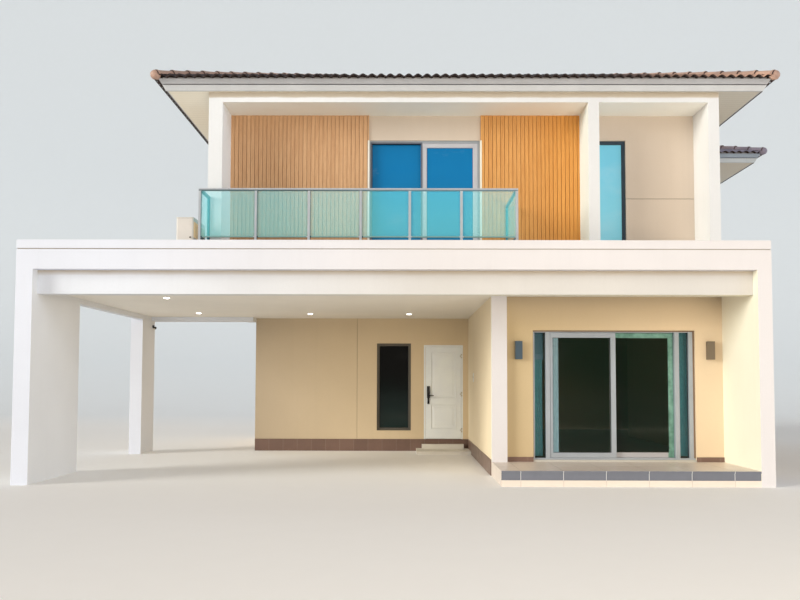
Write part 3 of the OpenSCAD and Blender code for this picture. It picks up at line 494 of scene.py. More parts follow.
class Build:
    """Collects boxes, tubes and strips into one mesh with several materials."""

    def __init__(self, *mats):
        self.bm = bmesh.new()
        self.mats = list(mats)
        self.use = 0

    def mat(self, m):
        if m not in self.mats:
            self.mats.append(m)
        self.use = self.mats.index(m)

    def face(self, verts, smooth=False):
        f = self.bm.faces.new(verts)
        f.material_index = self.use
        f.smooth = smooth
        return f

    def solid(self, points):
        """Box from eight corners, low ring then high ring, in plan millimetres."""
        v = [self.bm.verts.new(at(*p)) for p in points]
        for side in ("3210", "4567", "0154", "1265", "2376", "3047"):
            self.face([v[int(i)] for i in side])

    def box(self, x0, y0, z0, x1, y1, z1):
        x0, x1 = sorted((x0, x1))
        y0, y1 = sorted((y0, y1))
        plan = ((x0, y0), (x1, y0), (x1, y1), (x0, y1))
        self.solid([(x, y, z) for z in (z0, z1) for x, y in plan])

    def strip(self, rows, smooth=True, closed=False):
        """Skin through rows of points in plan millimetres."""
        grid = [[self.bm.verts.new(at(*p)) for p in row] for row in rows]
        for a, b in zip(grid, grid[1:]):
            n = len(a)
            for i in range(n if closed else n - 1):
                j = (i + 1) % n
                self.face([a[i], a[j], b[j], b[i]], smooth)
        return grid

    def rod(self, p, q, r, n=10):
        """Round bar from p to q, closed at both ends."""
        a, b = Vector(p), Vector(q)
        d = (b - a).normalized()
        side = d.cross(Vector((0, 0, 1) if abs(d.z) < 0.9 else (1, 0, 0))).normalized()
        up = side.cross(d)
        low, high = self.strip([[tuple(c + r * (math.cos(t) * side + math.sin(t) * up))
                                 for t in circle(n)] for c in (a, b)], closed=True)
        self.face(list(reversed(low)))
        self.face(high)

    def made(self, name, body="root", replaces=(), bevel=0.0):
        bmesh.ops.recalc_face_normals(self.bm, faces=self.bm.faces)
        mesh = bpy.data.meshes.new(name)
        self.bm.to_mesh(mesh)
        self.bm.free()
        obj = bpy.data.objects.new(name, mesh)
        bpy.context.scene.collection.objects.link(obj)
        for m in self.mats:
            mesh.materials.append(m)
        if bevel:
            round_edges(obj, bevel)
        if body:
            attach(obj, body)
        if replaces:
            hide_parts(*replaces)
        return obj


def round_edges(obj, width):
    b = obj.modifiers.new("round_edges", "BEVEL")
    b.width = width
    b.segments = 2
    b.limit_method = "ANGLE"
    b.angle_limit = math.radians(35)


def coat(node, *mats, bevel=0.0, by_face=lambda p: 0):
    """Gives a frame node its finish; by_face picks one of several for each face."""
    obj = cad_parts[node]
    obj.data.materials.clear()
    for m in mats:
        obj.data.materials.append(m)
    for p in obj.data.polygons:
        p.material_index = int(by_face(p))
    if bevel:
        round_edges(obj, bevel)


# ---------------------------------------------------- walls, slabs and frame

def to_street(p):
    return p.normal.y < -0.5


def pier_finish(p):
    """Faces to the street, and the outer side of the right pier: they take the darker coat, as
    painted shade.
    """
    return to_street(p) or (p.normal.x > 0.5 and p.center.x > at_x(10700))


def post_finish(p):
    """Street faces, and the left side of the fin, have coats of their own: painted shade on the
    street faces, painted light on the fin's side.
    """
    if to_street(p):
        return 1
    return 2 if p.normal.x < -0.5 and at_x(8000) < p.center.x < at_x(8800) else 0


for name in ("left_pier", "right_pier", "rear_column", "porch_column", "balcony_kerb"):
    coat(name, CREAM, CREAM_FRONT, bevel=0.006, by_face=pier_finish)
coat("carport_beams", CREAM, BEAM_FRONT, bevel=0.006, by_face=to_street)
coat("frame_posts", HEAD_CREAM, HEAD_FRONT, HEAD_FIN, bevel=0.006, by_face=post_finish)
# the band's street faces take the darker coat, and its drip groove is painted shade
coat("front_band", CREAM_FRONT, GROOVE_SHADE, bevel=0.004,
     by_face=lambda p: 3.3425 < p.center.z < 3.3575)
# the beam's street face takes the darker head coat as painted shade, its underside the paler
# ceiling coat as painted light
coat("frame_beam", HEAD_FRONT, CEILING_LIT, bevel=0.006, by_face=lambda p: p.normal.z < -0.9)
for finish, names in (
        (CEILING, "ceilings"), (ROOF_COAT, "first_floor_slab"), (CONCRETE, "ground_floor_slab"),
        (TAN, "carport_back_wall carport_back_wall_header"), (TAN_SIDE, "carport_side_wall"),
        (LIVING, "living_front_wall living_front_wall_header"),
        (BEIGE, "ground_side_walls ground_rear_wall wing_ground_walls"),
        (PALE, "upper_front_wall upper_side_walls upper_rear_wall wing_upper_walls"),
        (SOFFIT, "eaves_soffit"), (RAIL_GLASS, "balcony_glass")):
    for name in names.split():
        coat(name, finish)
coat("entrance_step", STEP, bevel=0.004)
coat("porch_slab", STONE, RISER, bevel=0.002,
     by_face=lambda p: to_street(p) and p.center.z > 0.09)
coat("skirting", SKIRT, bevel=0.001)
coat("wood_cladding", WOOD, bevel=0.002)
coat("balcony_railing", RAILING, bevel=0.003)


def fascia_finish(p):
    """Lower board, shadow gap and upper board; the gap and the upper board are painted darker, and
    the wing's boards cooler, as their shade.
    """
    wing = p.center.x > at_x(11700)
    if p.center.z < 6.348:
        return 3 if wing else 0
    if p.center.z < 6.3605:
        return 1
    return 4 if wing else 2


coat("fascia", FASCIA, FASCIA_GAP, FASCIA_UP_SHADE, FASCIA_WING_SHADE, FASCIA_UP_WING_SHADE, by_face=fascia_finish)


# -------------------------------------------------------------- tiled roofs

PITCH = math.tan(math.radians(20))
EAVE_Z = 6431.0       # foot of the first tiles
LINE_Z = EAVE_Z + 38  # line of the hip and ridge caps at the eave
WAVE, WAVE_HIGH = 150.0, 46.0
GAUGE, STEP_UP = 330.0, 11.0
SEGMENTS = 10 if FULL else 6
MAIN = ((1400, 1515), (11620, 10480))
WING = ((6330, 5820), (13360, 10480))


def roll(u):
    """Cross-section of the tiles: round rolls with narrower valleys."""
    t = (u / WAVE) % 1.0
    c = 0.5 + 0.5 * math.cos(2 * math.pi * t)
    return WAVE_HIGH * c ** 0.6


def slope(build, corner, along, inward, length, rise, cuts):
    """One roof slope of wavy tiles in stepped rows, cut at its hips."""
    a, u, v = Vector((*corner, 0)), Vector((*along, 0)), Vector((*inward, 0))
    bm = bmesh.new()
    columns = int(length / WAVE * SEGMENTS)
    us = [length * i / columns for i in range(columns + 1)]
    rows = int(math.ceil(rise / GAUGE))
    for k in range(rows):
        v0, v1 = k * GAUGE, min((k + 1) * GAUGE + 12, rise + 20)
        lines = []
        for vv, lift in ((v0, -STEP_UP * 0.2), (v0, STEP_UP), (v1, 0.0)):
            line = []
            for uu in us:
                p = a + u * uu + v * vv
                line.append(bm.verts.new((p.x, p.y, EAVE_Z + vv * PITCH + roll(uu) + lift)))
            lines.append(line)
        if k == 0:
            # underside of the first row, seen from the street, in the dark mortar coat as painted
            # shade
            low = [bm.verts.new(q.co) for q in lines[0]]
            back = [bm.verts.new(q.co + v * 110 + Vector((0, 0, 14))) for q in low]
            for i in range(columns):
                f = bm.faces.new([back[i], back[i + 1], low[i + 1], low[i]])
                f.smooth = True
                f.material_index = 1
        for p, q in zip(lines, lines[1:]):
            for i in range(columns):
                f = bm.faces.new([p[i], p[i + 1], q[i + 1], q[i]])
                f.smooth = True
    b = a + u * length
    planes = [(a, v - u), (b, v + u)] + [(Vector((*c, 0)), Vector((*n, 0))) for c, n in cuts]
    for point, normal in planes:
        bmesh.ops.bisect_plane(bm, geom=bm.verts[:] + bm.edges[:] + bm.faces[:],
                               plane_co=point, plane_no=normal, clear_outer=True)
    add(build, bm)


def add(build, bm):
    """Moves a mesh drawn in plan millimetres into the build."""
    table = {v: build.bm.verts.new(at(*v.co)) for v in bm.verts}
    for f in bm.faces:
        g = build.face([table[v] for v in f.verts], f.smooth)
        g.material_index = f.material_index
    bm.free()


def caps(build, start, stop, closed=True, finish=CAP):
    """Half-round cap tiles laid from a low point to a high point."""
    a, b = Vector(start), Vector(stop)
    d = (b - a).normalized()
    side = d.cross(Vector((0, 0, 1))).normalized()
    up = side.cross(d)
    count = max(int((b - a).length / 285), 1)
    step = (b - a).length / count
    n = 10 if FULL else 6

    def arches(p, profile):
        """Arches along the cap, each by its distance from p and its radius."""
        build.strip([[tuple(p + d * along + r * (math.cos(t) * side * 1.05
                                                 + (math.sin(t) * 0.82 - 0.16) * up))
                      for t in (math.pi * j / n for j in range(n + 1))] for along, r in profile])

    for i in range(count):
        p = a + d * (i * step)
        # mortar shows in the mouth of each cap
        build.mat(MORTAR_AND_SHADE)
        arches(p, ((4, 84), (0, 90), (0, 110), (7, 116)))
        build.mat(finish)
        arches(p, ((7, 116), (34, 117), (44, 104), (step + 26, 88)))
    if closed:
        # the lowest cap ends in a rounded nose over the corner
        c = a + d * 12 - Vector((0, 0, 6))
        build.strip([[tuple(c + Vector((88 * math.cos(u) * math.cos(w),
                                        88 * math.sin(u) * math.cos(w), 80 * math.sin(w))))
                      for u in circle(16 if FULL else 8)]
                     for w in map(math.radians, (-80, -50, -20, 10, 35, 60, 86))], closed=True)


def hip_roof(build, rect, **faces):
    """Slopes of equal pitch over a rectangle; each face is given with the planes that end it."""
    (x0, y0), (x1, y1) = rect
    w, d = x1 - x0, y1 - y0
    sides = {"front": ((x0, y0), (1, 0), (0, 1), w), "right": ((x1, y0), (0, 1), (-1, 0), d),
             "rear": ((x1, y1), (-1, 0), (0, -1), w), "left": ((x0, y1), (0, -1), (1, 0), d)}
    for name, cuts in faces.items():
        slope(build, *sides[name], min(w, d) / 2, cuts)


tiles = Build(TILE, MORTAR_AND_SHADE, CAP)
hip_roof(tiles, MAIN, front=(), right=(), rear=(), left=())
(mx0, my0), (mx1, my1) = MAIN
half = (my1 - my0) / 2
top_z = LINE_Z + half * PITCH
ridge_l, ridge_r, ridge_y = mx0 + half, mx1 - half, my0 + half
CAP_IN = 40  # the lowest caps start this far in from the corner
for x, end, in_x in ((mx0, ridge_l, CAP_IN), (mx1, ridge_r, -CAP_IN)):
    for y, in_y in ((my0, CAP_IN), (my1, -CAP_IN)):
        caps(tiles, (x + in_x, y + in_y, LINE_Z + CAP_IN * PITCH), (end, ridge_y, top_z))
caps(tiles, (ridge_l - 60, ridge_y, top_z + 10), (ridge_r + 60, ridge_y, top_z + 10), closed=False)
tiles.made("main_roof_tiles", replaces=("main_roof",))

# the wing's tiles and caps take their shaded copies
tiles = Build(TILE_WING_SHADE, MORTAR_AND_SHADE, CAP_WING_SHADE)
(wx0, wy0), (wx1, wy1) = WING
hip_roof(tiles, WING, front=[((mx1, wy0), (-1, -1))], right=(), rear=[((mx1, my1), (-1, 1))])
half = (wy1 - wy0) / 2
top_z = LINE_Z + half * PITCH
ridge_r, ridge_y = wx1 - half, wy0 + half
for y in (wy0 + CAP_IN, wy1 - CAP_IN):
    caps(tiles, (wx1 - CAP_IN, y, LINE_Z + CAP_IN * PITCH), (ridge_r, ridge_y, top_z),
         finish=CAP_WING_SHADE)
caps(tiles, (ridge_r + 60, ridge_y, top_z + 10), (mx1 - half, ridge_y, top_z + 10), closed=False,
     finish=CAP_WING_SHADE)
# sheet valley between the two roofs
tiles.mat(DARK)
v0 = Vector((mx1 + 20, wy0 - 20, EAVE_Z + 4))
v1 = Vector((mx1 - half, wy0 + half, EAVE_Z + 4 + half * PITCH))
across = Vector((1, 1, 0)).normalized() * 110
lift = Vector((0, 0, 34))
tiles.strip([[tuple(q) for q in (p - across + lift, p, p + across + lift)] for p in (v0, v1)],
            smooth=False)
tiles.made("wing_roof_tiles", replaces=("wing_roof",))

# eaves: a painted fillet in the upper board's shaded coat carries the tiles on the fascia, a dark
# comb closes the rolls above it, and along the sides a thin dark strip follows the tile edge and
# another, as painted shadow, the foot of the side boards
bed = Build(FASCIA_UP_SHADE, MORTAR_AND_SHADE, DARK_STRIP)


def eave_strip(x0, y0, x1, y1, near, far, z0, z1):
    """Four bars that follow a roof's edge, between two distances inward."""
    bed.box(x0 + near, y0 + near, z0, x1 - near, y0 + far, z1)
    bed.box(x0 + near, y1 - far, z0, x1 - near, y1 - near, z1)
    bed.box(x0 + near, y0 + far, z0, x0 + far, y1 - far, z1)
    bed.box(x1 - far, y0 + far, z0, x1 - near, y1 - far, z1)


for (x0, y0), (x1, y1) in (MAIN, WING):
    bed.mat(FASCIA_UP_SHADE)
    eave_strip(x0, y0, x1, y1, 136, 160, 6434, 6474)
    bed.mat(MORTAR_AND_SHADE)
    eave_strip(x0, y0, x1, y1, 139, 170, 6474, 6492)
    bed.mat(DARK_STRIP)
    # dark strip under the tile edge; dark strip at the foot of the side boards as their painted
    # shadow
    sides = (x0, -1), (x1, 1)
    for edge, s in sides if x0 == MAIN[0][0] else sides[1:]:
        bed.box(edge - 16 * s, y0 + 40, 6427, edge - 6 * s, y1 - 40, 6439)
        bed.box(edge - 194 * s, y0 + 200, 6259, edge - 178 * s, y1 - 200, 6267)
bed.made("tile_bedding")


# ------------------------------------------------------------ glazed pieces

class Face:
    """Maps wall coordinates (along, up, out from the wall's face) to the plan."""

    def __init__(self, side, face):
        self.side, self.face = side, face

    def __call__(self, u, v, w):
        if self.side == "front":
            return (u, self.face - w, v)
        if self.side == "rear":
            return (u, self.face + w, v)
        if self.side == "left":
            return (self.face - w, u, v)
        return (self.face + w, u, v)

    def box(self, build, u0, v0, w0, u1, v1, w1):
        x0, y0, z0 = self(u0, v0, w0)
        x1, y1, z1 = self(u1, v1, w1)
        build.box(x0, y0, z0, x1, y1, z1)


REVEAL = -40  # depth of the frames behind the wall's face


def ring(build, wall, u0, v0, u1, v1, line, w0, w1, foot=None, left=None):
    """Four bars round an opening, line wide, between depths w0 and w1."""
    foot = line if foot is None else foot
    left = line if left is None else left
    wall.box(build, u0, v1 - line, w0, u1, v1, w1)
    wall.box(build, u0, v0, w0, u1, v0 + foot, w1)
    wall.box(build, u0, v0 + foot, w0, u0 + left, v1 - line, w1)
    wall.box(build, u1 - line, v0 + foot, w0, u1, v1 - line, w1)


def window(build, wall, u0, v0, width, v1, metal, glass, bars=0):
    """Frame, glazing bead, black gasket and a pane, set back in the reveal."""
    u1, rim, bead = u0 + width, 41, 14
    line, half = rim + bead, 13.5
    build.mat(metal)
    ring(build, wall, u0, v0, u1, v1, rim, REVEAL - 60, REVEAL)
    edges = [u0 + rim]
    for i in range(1, bars + 1):
        m = u0 + i * width / (bars + 1)
        wall.box(build, m - half, v0 + rim, REVEAL - 60, m + half, v1 - rim, REVEAL - 2)
        edges += [m - half, m + half]
    edges.append(u1 - rim)
    for a, b in zip(edges[::2], edges[1::2]):
        build.mat(metal)
        ring(build, wall, a, v0 + rim, b, v1 - rim, bead, REVEAL - 50, REVEAL - 9)
        build.mat(GASKET)
        ring(build, wall, a + bead, v0 + line, b - bead, v1 - line, 4, REVEAL - 36, REVEAL - 22)
        build.mat(glass)
        wall.box(build, a + bead + 1, v0 + line + 1, REVEAL - 34,
                 b - bead - 1, v1 - line - 1, REVEAL - 26)


def windows(build, metal, glass, places, lift=0):
    """The windows of a storey: wall, place along it and sill; the rear ones are wide."""
    for wall, u0, sill in places:
        width, bars = (1600, 1) if wall is REAR else (725, 0)
        window(build, wall, u0, sill + lift, width, HEAD + lift, metal, glass, bars)


RIGHT, WING_R, WING_F = Face("right", 10740), Face("right", 12480), Face("front", 6700)
REAR, LOGGIA, LEFT_U = Face("rear", 9600), Face("front", 2460), Face("left", 2280)
HEAD, UPPER_HEAD, SILL, LOW_SILL = 2280, 5665, 1150, 430
wins = Build(DARK)
windows(wins, DARK, DARK_GLASS,
        ((Face("front", 5750), 4955, LOW_SILL), (Face("left", 2370), 7300, SILL),
         (RIGHT, 3200, LOW_SILL), (REAR, 3600, SILL), (REAR, 7400, SILL),
         (WING_F, 11150, SILL), (WING_R, 7700, SILL)))
wins.made("ground_windows_glazed", replaces=("ground_windows",),
          bevel=0.0015)

wins = Build(SLATE)
window(wins, LOGGIA, 8800, 3620, 577, UPPER_HEAD, SLATE, BAY_GLASS)
windows(wins, SLATE, BAY_GLASS,
        ((LEFT_U, 7300, SILL), (LEFT_U, 4200, SILL), (RIGHT, 4200, SILL), (REAR, 3600, SILL),
         (REAR, 7400, SILL), (WING_F, 11150, SILL), (WING_R, 7700, SILL)), UPPER_HEAD - HEAD)
wins.made("upper_windows_glazed", replaces=("upper_windows",),
          bevel=0.0015)


def leaf(build, wall, u0, v0, u1, v1, w0, w1, glass, metal, line=78, left=78):
    """Sliding leaf: stiles and rails with a bead, gasket and pane."""
    build.mat(metal)
    ring(build, wall, u0, v0, u1, v1, line - 10, w0, w1, left=left - 10)
    ring(build, wall, u0 + left - 10, v0 + line - 10, u1 - line + 10, v1 - line + 10, 10,
         w0 + 4, w1 - 4)
    build.mat(GASKET)
    ring(build, wall, u0 + left, v0 + line, u1 - line, v1 - line, 4, w0 + 10, w1 - 10)
    build.mat(glass)
    mid = (w0 + w1) / 2
    wall.box(build, u0 + left + 1, v0 + line + 1, mid - 4, u1 - line - 1, v1 - line - 1, mid + 4)


# balcony door: a fixed light on the left, the leaf in front of it on the right
door = Build(ALU)
ring(door, LOGGIA, 4925, 3400, 6845, 5665, 42, -130, -20)
door.mat(ALU_SHADE)
ring(door, LOGGIA, 4940, 3442, 5846, 5640, 27, -70, -18)
door.mat(GASKET)
LOGGIA.box(door, 4967, 5608, -74, 5846, 5616, -24)
ring(door, LOGGIA, 4967, 3442, 5849, 5623, 5, -84, -66)
door.mat(BLUE_GLASS)
LOGGIA.box(door, 4970, 3445, -83, 5850, 5620, -75)
door.mat(ALU)
LOGGIA.box(door, 4967, 3442, -126, 6803, 3456, -24)
leaf(door, LOGGIA, 5845, 3444, 6803, 5621, -62, -26, BLUE_GLASS, ALU_PALE)
door.made("balcony_door_glazed", replaces=("balcony_door",), bevel=0.0015)

# pale strips that close the battens off beside the door's frame
strips = Build(CREAM)
clad = (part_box("wood_cladding")[0].y - ORIGIN.y) * 1000
for a, b in ((4894, 4924), (6846, 6876)):
    strips.box(a, clad - 3, 3410, b, clad + 12, 5660)
strips.made("cladding_end_strips", bevel=0.002)

# living room door: frame, mullions and the two narrow fixed lights
PORCH = Face("front", 1300)
FOOT, TOP = 275, 2248
door = Build(ALU)
ring(door, PORCH, 7560, 250, 10110, HEAD, 32, REVEAL - 110, REVEAL, foot=25)
for x, width in ((10020, 58), (7765, 70), (9800, 70)):
    PORCH.box(door, x, FOOT, REVEAL - 110, x + width, TOP, REVEAL)
for a, b in ((7592, 7765), (9870, 10020)):
    door.mat(GASKET)
    ring(door, PORCH, a, FOOT, b, TOP, 5, REVEAL - 64, REVEAL - 48)
    door.mat(LIVING_GLASS)
    PORCH.box(door, a + 3, FOOT + 3, REVEAL - 60, b - 3, TOP - 3, REVEAL - 52)
# dark strips at the head and the jambs of the reveal: painted shadow of the reveal
door.mat(REVEAL_SHADOW)
for x0, z0, x1, z1 in ((7560, 2259, 10110, HEAD), (7560, FOOT, 7571, 2259),
                       (10082, FOOT, 10110, 2259)):
    PORCH.box(door, x0, z0, REVEAL, x1, z1, REVEAL + 3)
# tracks for the two leaves
door.mat(ALU_PALE)
for w in (-24, -86):
    PORCH.box(door, 7838, 268, REVEAL + w - 3, 9798, 278, REVEAL + w + 3)
door.made("living_door_frame_glazed", replaces=("living_door_frame",),
          bevel=0.0015)
piece = Build(ALU)
leaf(piece, PORCH, 7840, 280, 8872, 2243, REVEAL - 42, REVEAL - 6, LIVING_GLASS, ALU, left=40)
piece.made("left_leaf_glazed", "left_sliding_leaf", ("living_door_left_leaf",), 0.0015)
piece = Build(ALU)
leaf(piece, PORCH, 8794, 280, 9795, 2243, REVEAL - 104, REVEAL - 68, LIVING_GLASS, ALU_GREEN_REFLECTION)
piece.made("right_leaf_glazed", "right_sliding_leaf", ("living_door_right_leaf",),
           0.0015)


# ----------------------------------------------------------------- curtains

def curtain(name, x0, x1, folds, deep, phase=0.0, finish=CURTAIN):
    """Gathered curtain: folds that are tight at the head and open towards the hem."""
    y, z0, z1 = 1566, 290, 2270
    rows = 14
    cols = folds * rows
    build = Build(finish)
    points = []
    for j in range(rows + 1):
        t = j / rows
        z = z1 - (z1 - z0) * t
        amp = deep * (0.55 + 0.45 * t)
        row = []
        for i in range(cols + 1):
            s = i / cols
            turn = 2 * math.pi * folds * s + phase
            sway = 0.35 * math.sin(turn * 0.5 + 2.1 * t) + 0.12 * math.sin(5 * t + 3 * s)
            row.append((x0 + (x1 - x0) * s + 7 * math.sin(2 * turn) * t,
                        y + amp * (math.sin(turn + sway) * 0.8 + 0.2 * math.sin(2 * turn + 1)), z))
        points.append(row)
    build.strip(points)
    obj = build.made(name)


curtain("curtain_far_left", 7610, 7752, 4, 26, 2.0)
curtain("curtain_left", 7850, 8010, 5, 30, finish=CURTAIN_LIT)
curtain("curtain_right", 9790, 10066, 8, 30, 1.0)

# blind behind the left fixed light
blind = Build(SLAT)
for i in range(11):
    z = 2236 - 30 * i
    blind.solid([(7600, 1478, z - 21), (7755, 1478, z - 21), (7755, 1490, z), (7600, 1490, z),
                 (7600, 1480, z - 21), (7755, 1480, z - 21), (7755, 1492, z), (7600, 1492, z)])
blind.box(7600, 1476, 1820, 7755, 1492, 1905)
blind.box(7596, 1474, 2244, 7759, 1504, 2270)
blind.made("left_light_blind")


# ------------------------------------------------------------ entrance door

def hinge_knuckle(p):
    """Faces in front of the door's face, where only the hinges are."""
    return p.center.y < at_y(5747.2)


coat("entrance_door_frame", WHITE, HINGE, bevel=0.001, by_face=hinge_knuckle)
coat("entrance_door_leaf", WHITE, HINGE, bevel=0.001, by_face=hinge_knuckle)
coat("door_lock", BLACK, SPINDLE, bevel=0.0015, by_face=lambda p: p.center.y < at_y(5725))

# mouldings planted round the two panels, with a raised field inside
mould = Build(WHITE)
DOOR = Face("front", 5750)


def frames(z0, z1, profile):
    """Rectangles round a panel: (distance inward, distance out of the door's face)."""
    u0, u1 = 6108, 6629
    rows = []
    for o, out in profile:
        a, b, low, high = u0 + o, u1 - o, z0 + o, z1 - o
        rows.append([DOOR(u, v, out) for u, v in ((a, low), (b, low), (b, high), (a, high))])
    return mould.strip(rows, smooth=False, closed=True)


for z0, z1 in ((469, 978), (1117, 2095)):
    frames(z0, z1, ((-9, 0.5), (-9, 5), (-4, 9), (2, 7), (7, 3), (9, 0.5)))
    field = frames(z0, z1, ((44, 0.5), (70, 5), (72, 5.4)))
    mould.face(field[-1])
mould.made("door_mouldings", "entrance_door")

# keyhole plate and finger button on the lock's case
LOCK_X = 6052
lock = Build(SPINDLE)
for z, r, out in ((1030, 13, 17), (1330, 7, 27)):
    lock.rod((LOCK_X, 5740, z), (LOCK_X, 5750 - out, z), r, 20)
lock.mat(BLACK)
lock.rod((LOCK_X, 5733, 1030), (LOCK_X, 5732, 1030), 4, 12)
lock.made("lock_fittings", "entrance_door", bevel=0.0006)


# ------------------------------------------------------------ small fittings

# the right lamp takes the warmer copy, as painted reflection
coat("wall_lights", LAMP_GREY, LAMP_WARM_REFLECTION, bevel=0.003,
     by_face=lambda p: p.center.x > at_x(9000))
lamp = Build(LENS)
for x in (7277, 10282):
    lamp.mat(LENS)
    for z in (1950, 1974):
        lamp.box(x + 12, 1222, z, x + 96, 1288, z + 4)
    lamp.mat(LAMP_GREY)
    lamp.box(x + 6, 1292, 1850, x + 102, 1300, 2078)
lamp.made("wall_light_fittings", bevel=0.0015)

coat("downlights", TRIM)
CEILING_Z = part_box("downlights")[1].z * 1000
domes = Build(GLOW)
for x, y in ((1716, 1486), (1495, 4360), (3674, 4475), (5630, 4475)):
    rows = [[(x + r * math.cos(u), y + r * math.sin(u), CEILING_Z - 5 - drop)
             for u in circle(24 if FULL else 12)]
            for r, drop in ((50, 0), (50, 6), (47, 10), (38, 14), (24, 17), (6, 18))]
    domes.face(domes.strip(rows, closed=True)[-1])
domes.made("downlight_domes")

coat("ac_unit", ENAMEL, bevel=0.002)
unit = Build(DARK)
UNIT_X, UNIT_Y, UNIT_Z = 1917, 1250, 3400
FAN_Y, FAN_Z = UNIT_Y + 327.6, UNIT_Z + 365


def on_fan(x, r, t):
    """Point on the unit's left side, by distance and angle from the fan's hub."""
    return (UNIT_X + x, FAN_Y + r * math.cos(t), FAN_Z + r * math.sin(t))


# fan behind its wire guard on the left side
for r in range(40, 216, 16):
    rows = [[on_fan(1 + dx, r + dr, t) for t in circle(36)]
            for dx, dr in ((-2.25, 0), (0, 2.2), (2.25, 0), (0, -2.2))]
    unit.strip(rows + rows[:1], closed=True)
for t in circle(8):
    unit.rod(on_fan(2, 36, t), on_fan(2, 214, t), 2.4, 6)
unit.rod(on_fan(-1, 0, 0), on_fan(6, 0, 0), 40, 24)
for t in circle(3):
    unit.strip([[on_fan(24 - 14 * s, 46 + 26 * k, t + s * 1.1 + k * 0.04)
                 for s in (0, 0.35, 0.7, 1.0)] for k in range(7)])
# coil guard let into the right side
unit.mat(GRILLE)
unit.box(UNIT_X + 270, UNIT_Y + 30, 3748, UNIT_X + 273, UNIT_Y + 720, 4000)
for i in range(46):
    y = UNIT_Y + 33 + i * 15.2
    unit.box(UNIT_X + 272, y, 3750, UNIT_X + 277, y + 3, 3998)
for i in range(5):
    unit.box(UNIT_X + 272, UNIT_Y + 30, 3760 + i * 56, UNIT_X + 278, UNIT_Y + 720, 3763 + i * 56)
# lid seam, valve cover and pipe stubs on the street end
unit.mat(ENAMEL)
unit.box(UNIT_X + 200, UNIT_Y - 8, UNIT_Z + 110, UNIT_X + 262, UNIT_Y + 1, UNIT_Z + 300)
unit.mat(DARK)
unit.box(UNIT_X + 12, UNIT_Y - 1, UNIT_Z + 647, UNIT_X + 259, UNIT_Y + 2, UNIT_Z + 650)
unit.box(UNIT_X + 214, UNIT_Y - 12, 3730, UNIT_X + 240, UNIT_Y - 6, 3752)
for x in (218, 242):
    unit.rod((UNIT_X + x, UNIT_Y - 26, UNIT_Z + 96), (UNIT_X + x, UNIT_Y + 4, UNIT_Z + 96), 10, 14)
unit.made("unit_fittings", bevel=0.0008)

coat("security_camera", BLACK, bevel=0.0008)
eye = Build(LENS)
eye.rod((292, 5442, 2572), (292, 5419, 2560), 9, 16)
eye.made("camera_eye")

# render return between the end of the rear beam and the corner of the wall
back = Build(CREAM)
beam_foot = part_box("carport_beams")[0].z * 1000
back.box(2200, 5596, beam_foot + 1, 2368, 5752, 3059)
back.made("rear_beam_return", bevel=0.004)

# small plate beside the entrance
plate = Build(TRIM)
plate.box(6888, 4360, 1461, 6900, 4480, 1637)
plate.mat(GASKET)
plate.box(6886, 4405, 1540, 6889, 4435, 1570)
plate.made("door_bell", bevel=0.002)


# ---------------------------------------------------- stage, light and view

def plain(name, near, far):
    """Backdrop whose colour runs from near to far behind the house."""
    s = Shade(name)
    fine = s.noise(3.0, 3.0)
    col = s.mix(s.span(s.axis(1), 9.0, 26.0), near, far)
    col = s.mix(1.0, col, s.mix(fine, (0.98, 0.98, 0.98, 1), (1, 1, 1, 1)), "MULTIPLY")
    return s.done(col, 0.9, s.bump(fine, 0.001, 0.1))


# floor that curves up into the backdrop: where it begins to rise, and the curve's radius, metres
RISE_Y, CURVE = 18, 14
sweep = Build(plain("studio_floor", (0.94, 0.94, 0.94, 1), (0.70, 0.75, 0.80, 1)))
profile = [(-90, 0), (RISE_Y, 0)]
profile += [(RISE_Y + CURVE * math.sin(a), CURVE - CURVE * math.cos(a))
            for a in map(math.radians, range(10, 91, 10))]
profile += [(RISE_Y + CURVE, 70)]
sweep.strip([[((x - ORIGIN.x) * 1000, (y - ORIGIN.y) * 1000, z * 1000) for x in (-120, 0, 120)]
             for y, z in profile])
floor = sweep.made("studio_sweep", body=None)

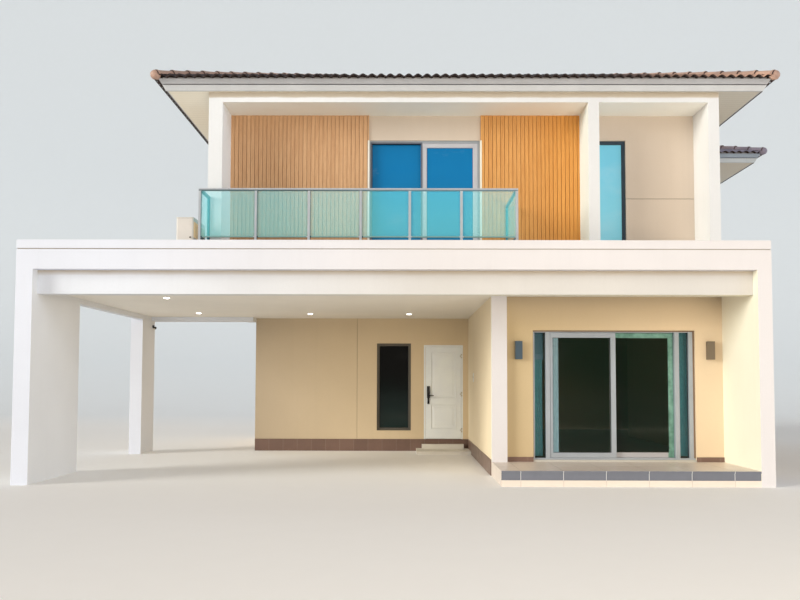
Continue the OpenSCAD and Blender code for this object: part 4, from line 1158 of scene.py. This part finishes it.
world = bpy.data.worlds.new("studio")
bpy.context.scene.world = world
world.use_nodes = True
nodes, links = world.node_tree.nodes, world.node_tree.links
nodes.clear()
out = nodes.new("ShaderNodeOutputWorld")
mix = nodes.new("ShaderNodeMixShader")
path = nodes.new("ShaderNodeLightPath")
fill, seen = nodes.new("ShaderNodeBackground"), nodes.new("ShaderNodeBackground")
for shader, color, strength in ((fill, (1.0, 0.90, 0.84, 1), 0.30),
                                (seen, (0.88, 0.89, 0.90, 1), 1.0)):
    shader.inputs[0].default_value = color
    shader.inputs[1].default_value = strength
for source, socket in ((path.outputs["Is Camera Ray"], mix.inputs[0]),
                       (fill.outputs[0], mix.inputs[1]), (seen.outputs[0], mix.inputs[2]),
                       (mix.outputs[0], out.inputs[0])):
    links.new(source, socket)


def place(name, data, rotation, location=(0, 0, 0)):
    obj = bpy.data.objects.new(name, data)
    obj.location = location
    obj.rotation_mode = "QUATERNION"
    obj.rotation_quaternion = rotation
    bpy.context.scene.collection.objects.link(obj)
    return obj


def far_light(name, toward, strength, spread, color):
    data = bpy.data.lights.new(name, "SUN")
    data.energy = strength
    data.angle = math.radians(spread)
    data.color = color
    place(name, data, Vector(toward).to_track_quat("-Z", "Y"))


far_light("key_light", (0.86, 0.45, -0.24), 2.7, 26, (1.0, 0.97, 0.88))
far_light("fill_light", (-0.85, 0.51, -0.12), 1.4, 52, (0.84, 0.93, 1.0))

# low, wide soft box behind the camera that reaches the ceilings and soffits
box_data = bpy.data.lights.new("low_soft_box", "AREA")
box_data.shape = "RECTANGLE"
box_data.size, box_data.size_y = 16.0, 1.4
box_data.energy = 1230.0
box_data.color = (1.0, 0.84, 0.62)
soft_box = place("low_soft_box", box_data, Vector((-0.38, 1.0, 0.26)).to_track_quat("-Z", "Z"),
                 at(11500, -12600, 1500))
soft_box.visible_glossy = False

# camera fitted to the photograph's edges: angles in radians
lens = bpy.data.cameras.new("camera")
lens.sensor_width = 36
lens.lens = 36
lens.shift_y = 0.052
lens.clip_end = 400
pitch, yaw, tilt = 0.0499, -0.0049, 0.0023
look = Vector((math.sin(yaw) * math.cos(pitch), math.cos(yaw) * math.cos(pitch), math.sin(pitch)))
right = Vector((math.cos(yaw), -math.sin(yaw), 0))
up = right.cross(look)
across_view = math.cos(tilt) * right + math.sin(tilt) * up
up_view = -math.sin(tilt) * right + math.cos(tilt) * up
turn = Matrix((across_view, up_view, -look)).transposed()
bpy.context.scene.camera = place("camera", lens, turn.to_quaternion(), at(5529, -11300, 1467))
bpy.context.scene.view_settings.view_transform = "Standard"
